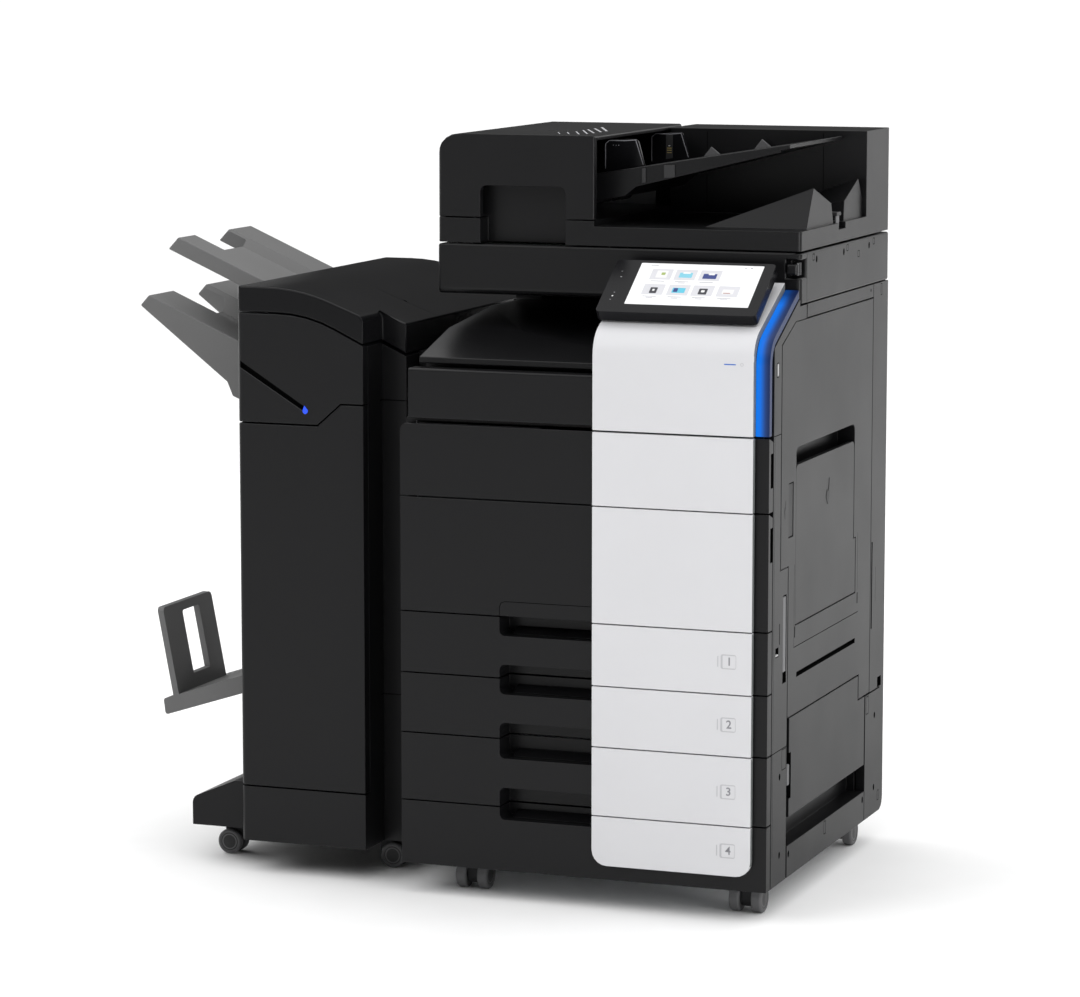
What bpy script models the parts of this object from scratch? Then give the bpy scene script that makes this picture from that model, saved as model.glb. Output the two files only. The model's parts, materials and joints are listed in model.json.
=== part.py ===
"""Multifunction photocopier with a floor-standing finisher, modelled as separate pieces.

Units are metres and +Z is up. The pieces are laid out from the copier's own corner: X = 0 is the
left edge of its black front panels and +X runs to its right, Y = 0 is the plane of those panels
and +Y runs to the back, and Z = 0 is the floor. One empty then carries everything so that the
middle of the whole machine's footprint is the world's origin.
"""

import math

import bmesh
import bpy
from mathutils import Matrix, Vector

# ---------------------------------------------------------------- driving dimensions
WIDTH = 0.615            # copier body, left to right
DEPTH = 0.667            # front panels to the back cover
GAP = 0.0003             # between pieces that rest on each other
SEAM = 0.001             # half of a visible joint between two panels
UNDERSIDE = 0.050        # lowest face of the cabinet
SPLIT_3_4 = 0.1543       # between drawers 3 and 4
SPLIT_2_3 = 0.265        # top of the cabinet, under the engine
SPLIT_1_2 = 0.3628       # between drawers 1 and 2
DOOR_LOW = 0.4622        # top of drawer 1, bottom of the front door
DOOR_HIGH = 0.6482       # top of the front door, bottom of the toner door
TONER_TOP = 0.766        # top of the toner door
SCANNER_LOW = 0.958
SCANNER_HIGH = 1.0385
LID_LOW = 1.0415         # underside of the document feeder
LID_BASE = 1.0725        # top of its base, where copied originals land
COVER_LOW = 1.083        # lower edge of its lift-up feed cover
LID_HIGH = 1.2165
SCANNER_FRONT = 0.160
PANEL_DEEP = 0.022       # thickness of the black front panels
FACING_PROUD = 0.010     # how far the white facings stand out
FACING_LEFT = 0.3285
FACING_RIGHT = 0.592
FRAME_BACK = 0.640
WALL_RIGHT = 0.598       # outer face of the frames, behind the right-hand doors
SIDE_FACE = 0.6147       # outer face of the right-hand doors and pillars
SIDE_BACK = 0.5995       # inner face of the same

HOUSING_ROUND = 0.008    # upright corners of the scanner and the feeder
FIN_ROUND = 0.009        # upright front left edge of the finisher

GRIP_LEFT = 0.1693
GRIP_DEEP = 0.045
GRIP_ROUND = 0.009
GRIP_BOX_BACK = 0.050
TRAY_FRONT = 0.052
TRAY_BACK = 0.560
TRAY_WALL = 0.004

BYPASS_LOW = 0.451       # bottom of the recess that holds the bypass tray
BYPASS_GAP = 0.0015

SLOPE = math.tan(math.radians(26.0))      # the sloping desk that carries the panel
SLOPE_TOP_Y = 0.150
BEND = 0.050                              # radius where the front turns into the slope
PANEL_TILT = math.radians(33.7)
PANEL_SIZE = (0.2625, 0.1303, 0.018)
PANEL_MIDDLE = (0.4545, 0.0700, 0.9880)   # centre of the panel's upper face
PANEL_HINGE = (0.4545, 0.030, 0.942)

FIN_LEFT = -0.302
FIN_STEP = -0.080        # right edge of the finisher's front part
FIN_RIGHT = -0.0375
FIN_FRONT = 0.040
FIN_RECESS = 0.120       # front of the narrow strip right of the front part
FIN_BACK = 0.665
FIN_TOP = 0.970
FIN_BOTTOM = 0.0547
FIN_BASE = 0.1466        # top of the base, bottom of the door
FIN_SKIN = 0.020

WHEEL_SIDES = 16
CASTER_RADIUS = 0.0235
FIN_WHEEL_RADIUS = 0.0217
FLAT = math.cos(math.pi / WHEEL_SIDES)    # a wheel stands on one of its short flats
FIN_WHEEL_X = (-0.377, -0.080)
FIN_FRONT_AXLE = 0.171
FIN_REAR_AXLE = 0.580
TRAIL = 0.016            # how far a wheel's axle sits from its swivel axis

# Footprint of the whole machine, from which its middle is worked out.
LEFT_TIP = -0.5535       # end of the lower finisher tray
RIGHT_TIP = SIDE_FACE
FRONT_TIP = -FACING_PROUD
MIDDLE_X = (LEFT_TIP + RIGHT_TIP) / 2
MIDDLE_Y = (FRONT_TIP + DEPTH) / 2

# ---------------------------------------------------------------- scene and materials
for old in list(bpy.data.objects):
    bpy.data.objects.remove(old, do_unlink=True)

footing = bpy.data.objects.new("footing", None)
footing.location = (-MIDDLE_X, -MIDDLE_Y, 0.0)
bpy.context.scene.collection.objects.link(footing)


def material(name, colour, roughness, metallic=0.0):
    made = bpy.data.materials.new(name)
    made.use_nodes = True
    shader = made.node_tree.nodes["Principled BSDF"]
    shader.inputs["Base Color"].default_value = (*colour, 1.0)
    shader.inputs["Roughness"].default_value = roughness
    shader.inputs["Metallic"].default_value = metallic
    made.diffuse_color = (*colour, 1.0)
    return made


CHARCOAL = material("charcoal_plastic", (0.022, 0.022, 0.024), 0.45)
WHITE = material("white_plastic", (0.74, 0.74, 0.76), 0.35)
GREY = material("grey_plastic", (0.20, 0.20, 0.205), 0.5)
BLACK = material("black_gloss", (0.008, 0.008, 0.009), 0.15)
BLUE = material("blue_light", (0.02, 0.20, 0.90), 0.3)
STEEL = material("sheet_steel", (0.55, 0.56, 0.57), 0.35, 1.0)
GLASS = material("glass", (0.70, 0.78, 0.76), 0.05)
RUBBER = material("wheel_rubber", (0.05, 0.05, 0.052), 0.6)
TONER = material("toner_black", (0.03, 0.03, 0.03), 0.5)


# ---------------------------------------------------------------- meshes
def finish_mesh(name, shape):
    bmesh.ops.recalc_face_normals(shape, faces=shape.faces)
    mesh = bpy.data.meshes.new(name)
    shape.to_mesh(mesh)
    shape.free()
    return mesh


def blocks(name, solid, hollow=()):
    """One body from boxes (x0, x1, y0, y1, z0, z1): the solid ones less the hollow ones."""
    boxes = [*solid, *hollow]
    steps = [sorted({round(b[2 * a + s], 6) for b in boxes for s in (0, 1)}) for a in range(3)]
    counts = [len(s) - 1 for s in steps]

    def holds(box, middle):
        return all(box[2 * a] < middle[a] < box[2 * a + 1] for a in range(3))

    filled = set()
    for i in range(counts[0]):
        for j in range(counts[1]):
            for k in range(counts[2]):
                cell = (i, j, k)
                middle = [(steps[a][cell[a]] + steps[a][cell[a] + 1]) / 2 for a in range(3)]
                if any(holds(b, middle) for b in solid) and not any(holds(b, middle) for b in hollow):
                    filled.add(cell)
    shape = bmesh.new()
    corners = {}

    def corner(key):
        if key not in corners:
            corners[key] = shape.verts.new([steps[a][key[a]] for a in range(3)])
        return corners[key]

    for cell in sorted(filled):
        for axis in range(3):
            u, v = (axis + 1) % 3, (axis + 2) % 3
            for side in (0, 1):
                beside = list(cell)
                beside[axis] += 2 * side - 1
                if tuple(beside) in filled:
                    continue
                ring = []
                for du, dv in ((0, 0), (1, 0), (1, 1), (0, 1)):
                    key = list(cell)
                    key[axis] += side
                    key[u] += du
                    key[v] += dv
                    ring.append(corner(tuple(key)))
                shape.faces.new(ring if side else ring[::-1])
    bmesh.ops.dissolve_limit(shape, angle_limit=0.001, verts=shape.verts, edges=shape.edges)
    return finish_mesh(name, shape)


def rounded(points, pieces=4):
    """An outline from (u, v) or (u, v, radius) corners, with each radius as a short arc."""
    outline = []
    count = len(points)
    for n, point in enumerate(points):
        here = Vector(point[:2])
        if len(point) < 3:
            outline.append(here)
            continue
        before = (Vector(points[n - 1][:2]) - here).normalized()
        after = (Vector(points[(n + 1) % count][:2]) - here).normalized()
        half = before.angle(after) / 2
        radius = point[2]
        centre = here + (before + after).normalized() * (radius / math.sin(half))
        start = here + before * (radius / math.tan(half)) - centre
        end = here + after * (radius / math.tan(half)) - centre
        turn = start.angle_signed(end)
        for step in range(pieces + 1):
            outline.append(centre + Matrix.Rotation(-turn * step / pieces, 2) @ start)
    return outline


def prism(name, outline, axis, low, high):
    """Extrudes an outline along X (points are y, z), Y (x, z) or Z (x, y)."""
    order = {"x": (2, 0, 1), "y": (0, 2, 1), "z": (0, 1, 2)}[axis]
    shape = bmesh.new()
    rings = []
    for level in (low, high):
        ring = []
        for u, v in outline:
            flat = (u, v, level)
            ring.append(shape.verts.new([flat[n] for n in order]))
        rings.append(ring)
    shape.faces.new(rings[0])
    shape.faces.new(rings[1][::-1])
    count = len(outline)
    for n in range(count):
        m = (n + 1) % count
        shape.faces.new((rings[0][n], rings[1][n], rings[1][m], rings[0][m]))
    return finish_mesh(name, shape)


def box(name, x0, x1, y0, y1, z0, z1):
    return blocks(name, [(x0, x1, y0, y1, z0, z1)])


def hull(name, points):
    shape = bmesh.new()
    for point in points:
        shape.verts.new(point)
    bmesh.ops.convex_hull(shape, input=shape.verts)
    bmesh.ops.dissolve_limit(shape, angle_limit=0.001, verts=shape.verts, edges=shape.edges)
    return finish_mesh(name, shape)


def turned(name, profile, middle, axis, sides):
    """Spins (along, radius) points about an axis through the middle; the ends lie on the axis."""
    shape = bmesh.new()
    rings = []
    along_axis = "xyz".index(axis)
    u, v = (along_axis + 1) % 3, (along_axis + 2) % 3
    for along, radius in profile:
        ring = []
        for n in range(sides if radius > 0 else 1):
            angle = 2 * math.pi * (n + 0.5) / sides
            place = [0.0, 0.0, 0.0]
            place[along_axis] = middle[along_axis] + along
            place[u] = middle[u] + radius * math.cos(angle)
            place[v] = middle[v] + radius * math.sin(angle)
            ring.append(shape.verts.new(place))
        rings.append(ring)
    for first, second in zip(rings, rings[1:]):
        for n in range(sides):
            m = (n + 1) % sides
            corners = [first[n % len(first)], first[m % len(first)]]
            corners += [second[m % len(second)], second[n % len(second)]]
            ring = []
            for vert in corners:
                if vert not in ring:
                    ring.append(vert)
            shape.faces.new(ring)
    return finish_mesh(name, shape)


def drum(name, middle, axis, radius, length, sides=20):
    half = length / 2
    return turned(name, [(-half, 0), (-half, radius), (half, radius), (half, 0)], middle, axis, sides)


# ---------------------------------------------------------------- objects
def put(name, mesh, finish, origin=(0.0, 0.0, 0.0)):
    """Makes the named object, with its own origin at the joint's axis where it moves."""
    mesh.transform(Matrix.Translation(-Vector(origin)))
    mesh.materials.append(finish)
    made = bpy.data.objects.new(name, mesh)
    made.location = origin
    made.parent = footing
    bpy.context.scene.collection.objects.link(made)
    return made


def combine(target, mesh, operation):
    """Adds or removes another mesh with a Boolean; the helper object is left out of the build."""
    mesh.transform(Matrix.Translation(-Vector(target.location)))
    tool = bpy.data.objects.new(target.name + "_" + operation.lower(), mesh)
    tool.location = target.location
    tool.parent = footing
    tool.hide_render = True
    tool.display_type = "WIRE"
    bpy.context.scene.collection.objects.link(tool)
    change = target.modifiers.new(operation.lower(), "BOOLEAN")
    change.operation = operation
    change.solver = "EXACT"
    change.object = tool


def cut(target, mesh):
    combine(target, mesh, "DIFFERENCE")


def join(target, mesh):
    combine(target, mesh, "UNION")


def round_corner(target, axis, corner, toward, radius, low, high):
    """Rounds one straight outer edge that runs along an axis; toward points into the material."""
    (u, v), (du, dv) = corner, toward
    out = 0.01
    outline = [(u - du * out, v - dv * out), (u - du * out, v + dv * radius)]
    for step in range(6):
        turn = math.pi / 2 * step / 5
        outline.append((u + du * radius * (1 - math.cos(turn)), v + dv * radius * (1 - math.sin(turn))))
    outline.append((u + du * radius, v - dv * out))
    cut(target, prism("round_corner", outline, axis, low, high))


# ---------------------------------------------------------------- cabinet and engine frames
def build_frames():
    low, high = UNDERSIDE + GAP, SPLIT_2_3 - SEAM
    put("cabinet_frame", blocks("cabinet_frame", [
        (0.003, WALL_RIGHT, 0.024, FRAME_BACK, low, 0.058),     # floor plate
        (0.003, 0.020, 0.024, FRAME_BACK, low, high),           # left wall
        (0.578, WALL_RIGHT, 0.024, FRAME_BACK, low, high),      # right wall
        (0.003, WALL_RIGHT, 0.620, FRAME_BACK, low, high),      # back wall
        (0.003, WALL_RIGHT, TRAY_FRONT, FRAME_BACK, high - 0.006, high),
        (WALL_RIGHT, SIDE_FACE, 0.109, 0.553, low, 0.1015),     # base rail
    ], [
        (0.584, 0.600, 0.112, 0.550, 0.1015, 0.1475),           # long hand recess on the right
    ]), STEEL)

    low, high = SPLIT_2_3, SCANNER_LOW - 0.001
    put("engine_frame", blocks("engine_frame", [
        (0.003, WALL_RIGHT, TRAY_FRONT, FRAME_BACK, low, low + 0.006),
        (0.003, 0.020, 0.024, FRAME_BACK, low, 0.7725),         # left wall
        (0.578, WALL_RIGHT, 0.024, FRAME_BACK, low, 0.7725),    # right wall
        (0.578, WALL_RIGHT, 0.160, FRAME_BACK, 0.7725, high),
        (0.003, WALL_RIGHT, 0.620, FRAME_BACK, low, high),      # back wall
        (0.003, WALL_RIGHT, 0.024, FRAME_BACK, 0.464, 0.470),   # shelf over the drawers
        (0.003, WALL_RIGHT, 0.024, FRAME_BACK, 0.7665, 0.7725),  # floor of the exit space
        (0.335, FACING_RIGHT, 0.003, 0.155, 0.7725, 0.878),     # tower under the panel
        (0.335, FACING_RIGHT, 0.060, 0.155, 0.878, 0.918),
        (0.335, 0.352, 0.155, 0.500, 0.7725, 0.918),            # inner wall of the exit space
        (0.335, 0.352, 0.160, 0.500, 0.918, high),
        (0.578, FACING_RIGHT, 0.105, 0.160, 0.918, 0.944),      # filling behind the slope's right end
        (0.578, FACING_RIGHT, 0.135, 0.160, 0.944, high),
        (0.003, WALL_RIGHT, 0.500, 0.512, 0.7725, 0.920),       # back wall of the exit space
        (0.003, 0.050, 0.512, 0.620, 0.7725, high),             # rear left scanner column
        (WALL_RIGHT, SIDE_FACE, 0.197, 0.5775, 0.9355, high),   # rail over the right door
    ], [
        (0.570, 0.600, 0.120, 0.505, 0.480, 0.760),             # paper path behind the right door
    ]), STEEL)

    rear = [
        (0.003, SIDE_FACE, FRAME_BACK + 0.0015, DEPTH, low + SEAM, high),
        (SIDE_BACK, SIDE_FACE, 0.579, DEPTH, low + SEAM, high),
        (0.003, SIDE_FACE, FRAME_BACK + 0.0015, DEPTH, UNDERSIDE + GAP, low + SEAM),
        (SIDE_BACK, SIDE_FACE, 0.555, DEPTH, UNDERSIDE + GAP, low - SEAM),
    ]
    cover = put("rear_cover", blocks("rear_cover", rear), CHARCOAL)
    round_corner(cover, "x", (DEPTH, UNDERSIDE + GAP), (-1, 1), 0.022, -0.01, SIDE_FACE + 0.01)


# ---------------------------------------------------------------- drawers
# name, lower seam, upper seam, height of the grip below the upper seam, height of the cut-out
# that the drawer gives to the grip of the one below it
DRAWERS = (
    ("1", SPLIT_1_2, DOOR_LOW, 0.031, 0.0219),
    ("2", SPLIT_2_3, SPLIT_1_2, 0.026, 0.0255),
    ("3", SPLIT_3_4, SPLIT_2_3, 0.032, 0.031),
    ("4", UNDERSIDE, SPLIT_3_4, 0.021, 0.0),
)


def grip_cutter(name, low, high):
    """A hand pocket's room, open to the front, with round corners on its left."""
    outline = rounded([
        (GRIP_LEFT, low, GRIP_ROUND), (FACING_LEFT - 0.0005, low),
        (FACING_LEFT - 0.0005, high), (GRIP_LEFT, high, GRIP_ROUND),
    ])
    return prism(name, outline, "y", -0.01, GRIP_DEEP)


def build_drawers():
    for number, low, high, below, above in DRAWERS:
        bottom, top = low + SEAM, high - SEAM
        if number == "4":
            bottom = UNDERSIDE
        parts = [
            (0.0, WIDTH - 0.0005, 0.0, PANEL_DEEP, bottom, top),
            (GRIP_LEFT - 0.006, 0.336, PANEL_DEEP, GRIP_BOX_BACK, high - below - 0.005, top),
        ]
        if above:
            roof = low + above + 0.005
            parts.append((GRIP_LEFT - 0.006, 0.336, PANEL_DEEP, GRIP_BOX_BACK, bottom, roof))
        front = put(f"drawer_{number}_front", blocks("front", parts), CHARCOAL)
        cut(front, grip_cutter("grip", high - below, high + 0.02))
        if above:
            cut(front, grip_cutter("grip", low - 0.02, low + above))

        face_low = 0.0745 if number == "4" else bottom
        corner = 0.025 if number == "4" else 0.001
        outline = rounded([
            (FACING_LEFT, face_low, corner), (FACING_RIGHT, face_low, corner),
            (FACING_RIGHT, top), (FACING_LEFT, top),
        ], 5 if number == "4" else 1)
        put(f"drawer_{number}_facing", prism("facing", outline, "y", -FACING_PROUD, -GAP), WHITE)

        tray_low, tray_high = low + 0.010, high - 0.014
        put(f"paper_tray_{number}", blocks("tray", [
            (0.028, 0.570, TRAY_FRONT, TRAY_BACK, tray_low, tray_high),
        ], [
            (0.028 + TRAY_WALL, 0.570 - TRAY_WALL, TRAY_FRONT + TRAY_WALL, TRAY_BACK - TRAY_WALL,
             tray_low + TRAY_WALL, tray_high + 0.01),
        ]), GREY)


# ---------------------------------------------------------------- front doors and covers
def build_front_doors():
    for name, low, high in (("front_door", DOOR_LOW, DOOR_HIGH), ("toner_door", DOOR_HIGH, TONER_TOP)):
        bottom, top = low + SEAM, high - SEAM
        hinge = (0.0, -FACING_PROUD, bottom)
        # the upper face falls towards the back, so the edge clears the piece above as it swings
        outline = rounded([
            (0.0, bottom), (PANEL_DEEP, bottom), (PANEL_DEEP, top - 0.007),
            (0.004, top - 0.0004), (0.0, top, 0.0015),
        ], 2)
        door = put(name, prism(name, outline, "x", 0.0, WIDTH - 0.0005), CHARCOAL, hinge)
        if name == "toner_door":
            round_corner(door, "y", (0.0, top), (1, -1), 0.012, -0.01, PANEL_DEEP + 0.01)
        put(name + "_facing",
            box("facing", FACING_LEFT, FACING_RIGHT, -FACING_PROUD, -GAP, bottom, top), WHITE, hinge)


def bent_sheet(front, bottom, top_y, slope_z, thickness):
    """Side outline of a sheet that rises up the front and bends back along the slope."""
    line = lambda y, drop: slope_z + SLOPE * (y - 0.045) - drop
    inner = thickness / math.cos(math.atan(SLOPE))
    return rounded([
        (front, bottom), (front, line(front, 0.0), BEND), (top_y, line(top_y, 0.0)),
        (top_y, line(top_y, inner)),
        (front + thickness, line(front + thickness, inner), BEND - thickness),
        (front + thickness, bottom),
    ], 6)


def build_upper_front():
    bottom = TONER_TOP + 0.002
    cover = bent_sheet(-FACING_PROUD, bottom, SLOPE_TOP_Y, 0.942, 0.012)
    put("upper_front_cover", prism("cover", cover, "x", FACING_LEFT, FACING_RIGHT), WHITE)
    strip = bent_sheet(0.0, bottom, SLOPE_TOP_Y, 0.931, 0.012)
    put("status_light_strip", prism("strip", strip, "x", FACING_RIGHT + 0.0004, SIDE_FACE), BLUE)

    low_slope = 0.931 - 0.0137
    pillar = [
        (0.024, UNDERSIDE + GAP), (0.104, UNDERSIDE + GAP), (0.104, 0.5505), (0.0625, 0.5505),
        (0.0625, 0.9045), (0.1355, 0.9345), (0.1935, 0.9345), (0.1935, 0.9565), (0.1575, 0.9565),
        (0.1575, 0.9660), (0.1515, 0.9660), (0.024, low_slope + SLOPE * (0.024 - 0.045) - 0.004),
    ]
    put("right_front_pillar", prism("pillar", pillar, "x", SIDE_BACK, SIDE_FACE), CHARCOAL)

    exit_cover = rounded([
        (0.0, 0.7735, 0.002), (0.030, 0.7735), (0.030, 0.8525), (0.0, 0.8525, 0.004),
    ], 3)
    put("exit_front_cover", prism("exit_cover", exit_cover, "x", 0.0145, 0.3275), CHARCOAL)


def build_relay():
    top = [
        (0.030, 0.858), (0.030, 0.868), (0.157, 0.9027), (0.350, 0.922), (0.498, 0.922),
        (0.498, 0.774), (0.060, 0.774), (0.060, 0.858),
    ]
    relay = put("relay_unit", prism("relay", top, "x", 0.0212, 0.3265), CHARCOAL)
    join(relay, box("bridge", FIN_RIGHT + 0.001, 0.030, 0.170, 0.470, 0.800, 0.862))
    bowl = [(-1.0, 0), (-1.0, 0.55), (0.0, 0.86), (1.2, 1.0), (1.2, 0)]
    scoop = turned("scoop", bowl, (0, 0, 0), "z", 28)
    lean = Matrix.Rotation(math.radians(8.0), 4, "X")
    size = Matrix.Diagonal((0.25, 0.165, 0.014, 1))
    scoop.transform(Matrix.Translation((0.345, 0.215, 0.9095)) @ lean @ size)
    cut(relay, scoop)


# ---------------------------------------------------------------- right side
def build_right_side():
    rear_y, hinge_x = 0.5765, SIDE_FACE
    outline = [
        (0.0650, 0.5515), (0.0650, 0.9030), (0.1370, 0.9335), (rear_y, 0.9335), (rear_y, 0.2670),
        (0.5120, 0.2670), (0.5120, 0.3090), (0.1065, 0.3090), (0.1065, 0.5515),
    ]
    hinge = (hinge_x, rear_y, 0.60)
    door = put("right_upper_door", prism("door", outline, "x", SIDE_BACK, SIDE_FACE), CHARCOAL, hinge)
    join(door, box("pocket_back", 0.580, 0.604, 0.136, 0.494, 0.487, 0.741))
    recess = rounded([
        (0.1440, BYPASS_LOW), (0.4860, BYPASS_LOW), (0.4860, 0.5450), (0.4740, 0.5450),
        (0.4740, 0.735, 0.012), (0.1440, 0.735, 0.012),
    ])
    cut(door, prism("recess", recess, "x", 0.585, 0.63))

    shelf = rounded([
        (0.145, BYPASS_LOW + BYPASS_GAP), (0.485, BYPASS_LOW + BYPASS_GAP), (0.485, 0.544),
        (0.473, 0.544), (0.473, 0.707, 0.010), (0.145, 0.707, 0.010),
    ])
    put("bypass_tray", prism("bypass", shelf, "x", 0.6060, SIDE_FACE - GAP), CHARCOAL,
        (hinge_x, 0.32, BYPASS_LOW + BYPASS_GAP))

    lower = [
        (0.117, 0.1475), (0.550, 0.1475), (0.550, 0.2650), (0.509, 0.2650),
        (0.509, 0.3070), (0.117, 0.3070),
    ]
    put("right_lower_door", prism("lower_door", lower, "x", SIDE_BACK, SIDE_FACE), CHARCOAL,
        (hinge_x, 0.550, 0.21))


# ---------------------------------------------------------------- panel
def panel_place():
    return Matrix.Translation(PANEL_MIDDLE) @ Matrix.Rotation(PANEL_TILT, 4, "X")


def panel_plate(name, left, right, front, back, top, thickness, corner):
    outline = rounded([
        (left, front, corner), (right, front, corner), (right, back, corner), (left, back, corner),
    ], 3)
    mesh = prism(name, outline, "z", top - thickness, top)
    mesh.transform(panel_place())
    return mesh


def build_panel():
    wide, high, thick = PANEL_SIZE
    left, right, front, back = -wide / 2, wide / 2, -high / 2, high / 2
    screen = (left + 0.0421, right - 0.0178, front + 0.0206, back - 0.0060)
    panel = put("operation_panel", panel_plate("panel", left, right, front, back, 0.0, thick, 0.007),
                BLACK, PANEL_HINGE)
    join(panel, drum("barrel", PANEL_HINGE, "x", 0.0055, 0.150, 12))
    recess = panel_plate("recess", *screen, 0.01, 0.0125, 0.001)
    cut(panel, recess)
    inset = 0.0003
    glass = (screen[0] + inset, screen[1] - inset, screen[2] + inset, screen[3] - inset)
    put("touch_screen", panel_plate("screen", *glass, -0.0001, 0.0020, 0.001), GLASS, PANEL_HINGE)


# ---------------------------------------------------------------- inside the engine
def build_insides():
    bottle = [
        (-0.20, 0), (-0.20, 0.030), (-0.19, 0.046), (0.19, 0.046), (0.20, 0.020), (0.215, 0.020), (0.215, 0),
    ]
    put("toner_bottle", turned("bottle", bottle, (0.300, 0.255, 0.708), "y", 20), TONER)
    unit = rounded([
        (0.265, 0.520, 0.01), (0.430, 0.520, 0.04), (0.430, 0.635, 0.03), (0.265, 0.635, 0.01),
    ], 3)
    put("drum_unit", prism("drum_unit", unit, "y", 0.035, 0.440), TONER)
    fuser = rounded([
        (0.470, 0.600, 0.01), (0.560, 0.600, 0.02), (0.560, 0.745, 0.02), (0.470, 0.745, 0.01),
    ], 3)
    put("fuser_unit", prism("fuser", fuser, "y", 0.060, 0.480), GREY)


# ---------------------------------------------------------------- scanner
def build_scanner():
    outline = rounded([
        (SCANNER_FRONT, SCANNER_LOW, 0.012), (DEPTH - 0.001, SCANNER_LOW), (DEPTH - 0.001, SCANNER_HIGH),
        (SCANNER_FRONT, SCANNER_HIGH, 0.003),
    ])
    scanner = put("scanner_housing", prism("scanner", outline, "x", 0.001, SIDE_FACE - GAP), CHARCOAL)
    cut(scanner, box("carriage_room", 0.040, 0.575, 0.200, 0.630, 0.966, SCANNER_HIGH + 0.01))
    cut(scanner, box("glass_ledge", 0.030, 0.585, 0.190, 0.640, 1.0345, SCANNER_HIGH + 0.02))
    cut(scanner, box("corner_pocket", 0.590, 0.640, 0.140, 0.188, 1.000, 1.028))
    round_corner(scanner, "z", (0.001, SCANNER_FRONT), (1, 1), HOUSING_ROUND, 0.94, 1.06)
    round_corner(scanner, "z", (SIDE_FACE - GAP, SCANNER_FRONT), (-1, 1), HOUSING_ROUND, 0.94, 1.06)
    put("platen_glass", box("glass", 0.0305, 0.5845, 0.1905, 0.6395, 1.0348, SCANNER_HIGH - 0.0002), GLASS)


# ---------------------------------------------------------------- document feeder
def build_feeder():
    hinge = (0.3, DEPTH - 0.0005, LID_LOW)
    grip = (0.0753, 0.2213)
    lid = put("document_feeder", blocks("feeder", [
        (0.002, 0.6135, SCANNER_FRONT, DEPTH - 0.001, LID_LOW, LID_BASE),
        (0.002, 0.270, SCANNER_FRONT, DEPTH - 0.001, LID_BASE, COVER_LOW - 0.002),
        (0.002, 0.270, 0.600, DEPTH - 0.001, COVER_LOW - 0.002, 1.190),
        (0.272, 0.6135, 0.532, DEPTH - 0.001, LID_BASE, 1.213),
        (0.262, 0.280, 0.600, DEPTH - 0.001, LID_BASE, 1.190),
        (0.060, 0.240, 0.195, 0.205, COVER_LOW - 0.002, 1.140),
    ], [
        (0.016, 0.600, 0.215, 0.652, LID_LOW - 0.01, LID_BASE - 0.006),
        (0.286, 0.600, 0.546, 0.652, LID_LOW, 1.199),
        (grip[0], grip[1], SCANNER_FRONT - 0.01, 0.195, LID_LOW - 0.01, 1.20),
    ]), CHARCOAL, hinge)
    end_x, start_x = 0.607, 0.440
    for name, ridge in (
        ("front_ridge", ((0.212, LID_BASE), (0.250, 1.136), (0.350, 1.106), (0.362, LID_BASE))),
        ("rear_ridge", ((0.420, LID_BASE), (0.424, 1.104), (0.505, 1.1365), (0.5315, 1.100))),
    ):
        points = [(end_x, y, z) for y, z in ridge]
        points += [(start_x, y, LID_BASE) for y in (ridge[0][0], ridge[3][0])]
        points += [(x, y, LID_BASE - 0.003) for x in (start_x, end_x) for y in (ridge[0][0], ridge[3][0])]
        join(lid, hull(name, points))
    cut(lid, box("edge_notch", 0.585, 0.63, 0.372, 0.410, 1.062, 1.09))
    round_corner(lid, "z", (0.002, SCANNER_FRONT), (1, 1), HOUSING_ROUND, 1.03, 1.10)
    round_corner(lid, "z", (0.6135, SCANNER_FRONT), (-1, 1), HOUSING_ROUND, 1.03, 1.10)

    top = LID_HIGH
    outline = rounded([
        (0.002, COVER_LOW), (0.270, COVER_LOW), (0.270, top, 0.004), (0.002, top, 0.036),
    ], 5)
    cover = put("feed_cover", prism("feed_cover", outline, "y", SCANNER_FRONT, 0.598), CHARCOAL,
                (0.002, 0.38, COVER_LOW))
    cut(cover, box("cover_room", 0.014, 0.30, 0.174, 0.586, COVER_LOW - 0.02, top - 0.008))
    opening = rounded([
        (grip[0], COVER_LOW - 0.02), (grip[1], COVER_LOW - 0.02),
        (grip[1], 1.134, 0.010), (grip[0], 1.134, 0.010),
    ], 3)
    cut(cover, prism("grip_window", opening, "y", 0.10, 0.18))
    round_corner(cover, "z", (0.002, SCANNER_FRONT), (1, 1), HOUSING_ROUND, 1.07, 1.23)
    round_corner(cover, "z", (0.270, SCANNER_FRONT), (-1, 1), HOUSING_ROUND / 2, 1.07, 1.23)

    tray_top = lambda x: 1.1536 + 0.161 * (x - 0.256)
    profile = [
        (0.245, tray_top(0.245)), (0.245, 1.107), (0.300, 1.118), (0.322, 1.136), (0.430, 1.162),
        (0.575, tray_top(0.575) - 0.006), (0.575, tray_top(0.575)),
    ]
    put("input_tray", prism("input_tray", profile, "y", 0.225, 0.520), CHARCOAL, (0.245, 0.37, 1.130))
    for name, low, high in (("paper_guide_front", 0.268, 0.273), ("paper_guide_rear", 0.498, 0.503)):
        lift = 0.0005
        side = rounded([
            (0.250, tray_top(0.250) + lift), (0.318, tray_top(0.318) + lift), (0.306, 1.2065, 0.006),
            (0.285, 1.2065, 0.004), (0.272, 1.2045), (0.250, 1.2045, 0.010),
        ], 2)
        put(name, prism(name, side, "y", low, high), BLACK, (0.28, low, 1.17))


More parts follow.
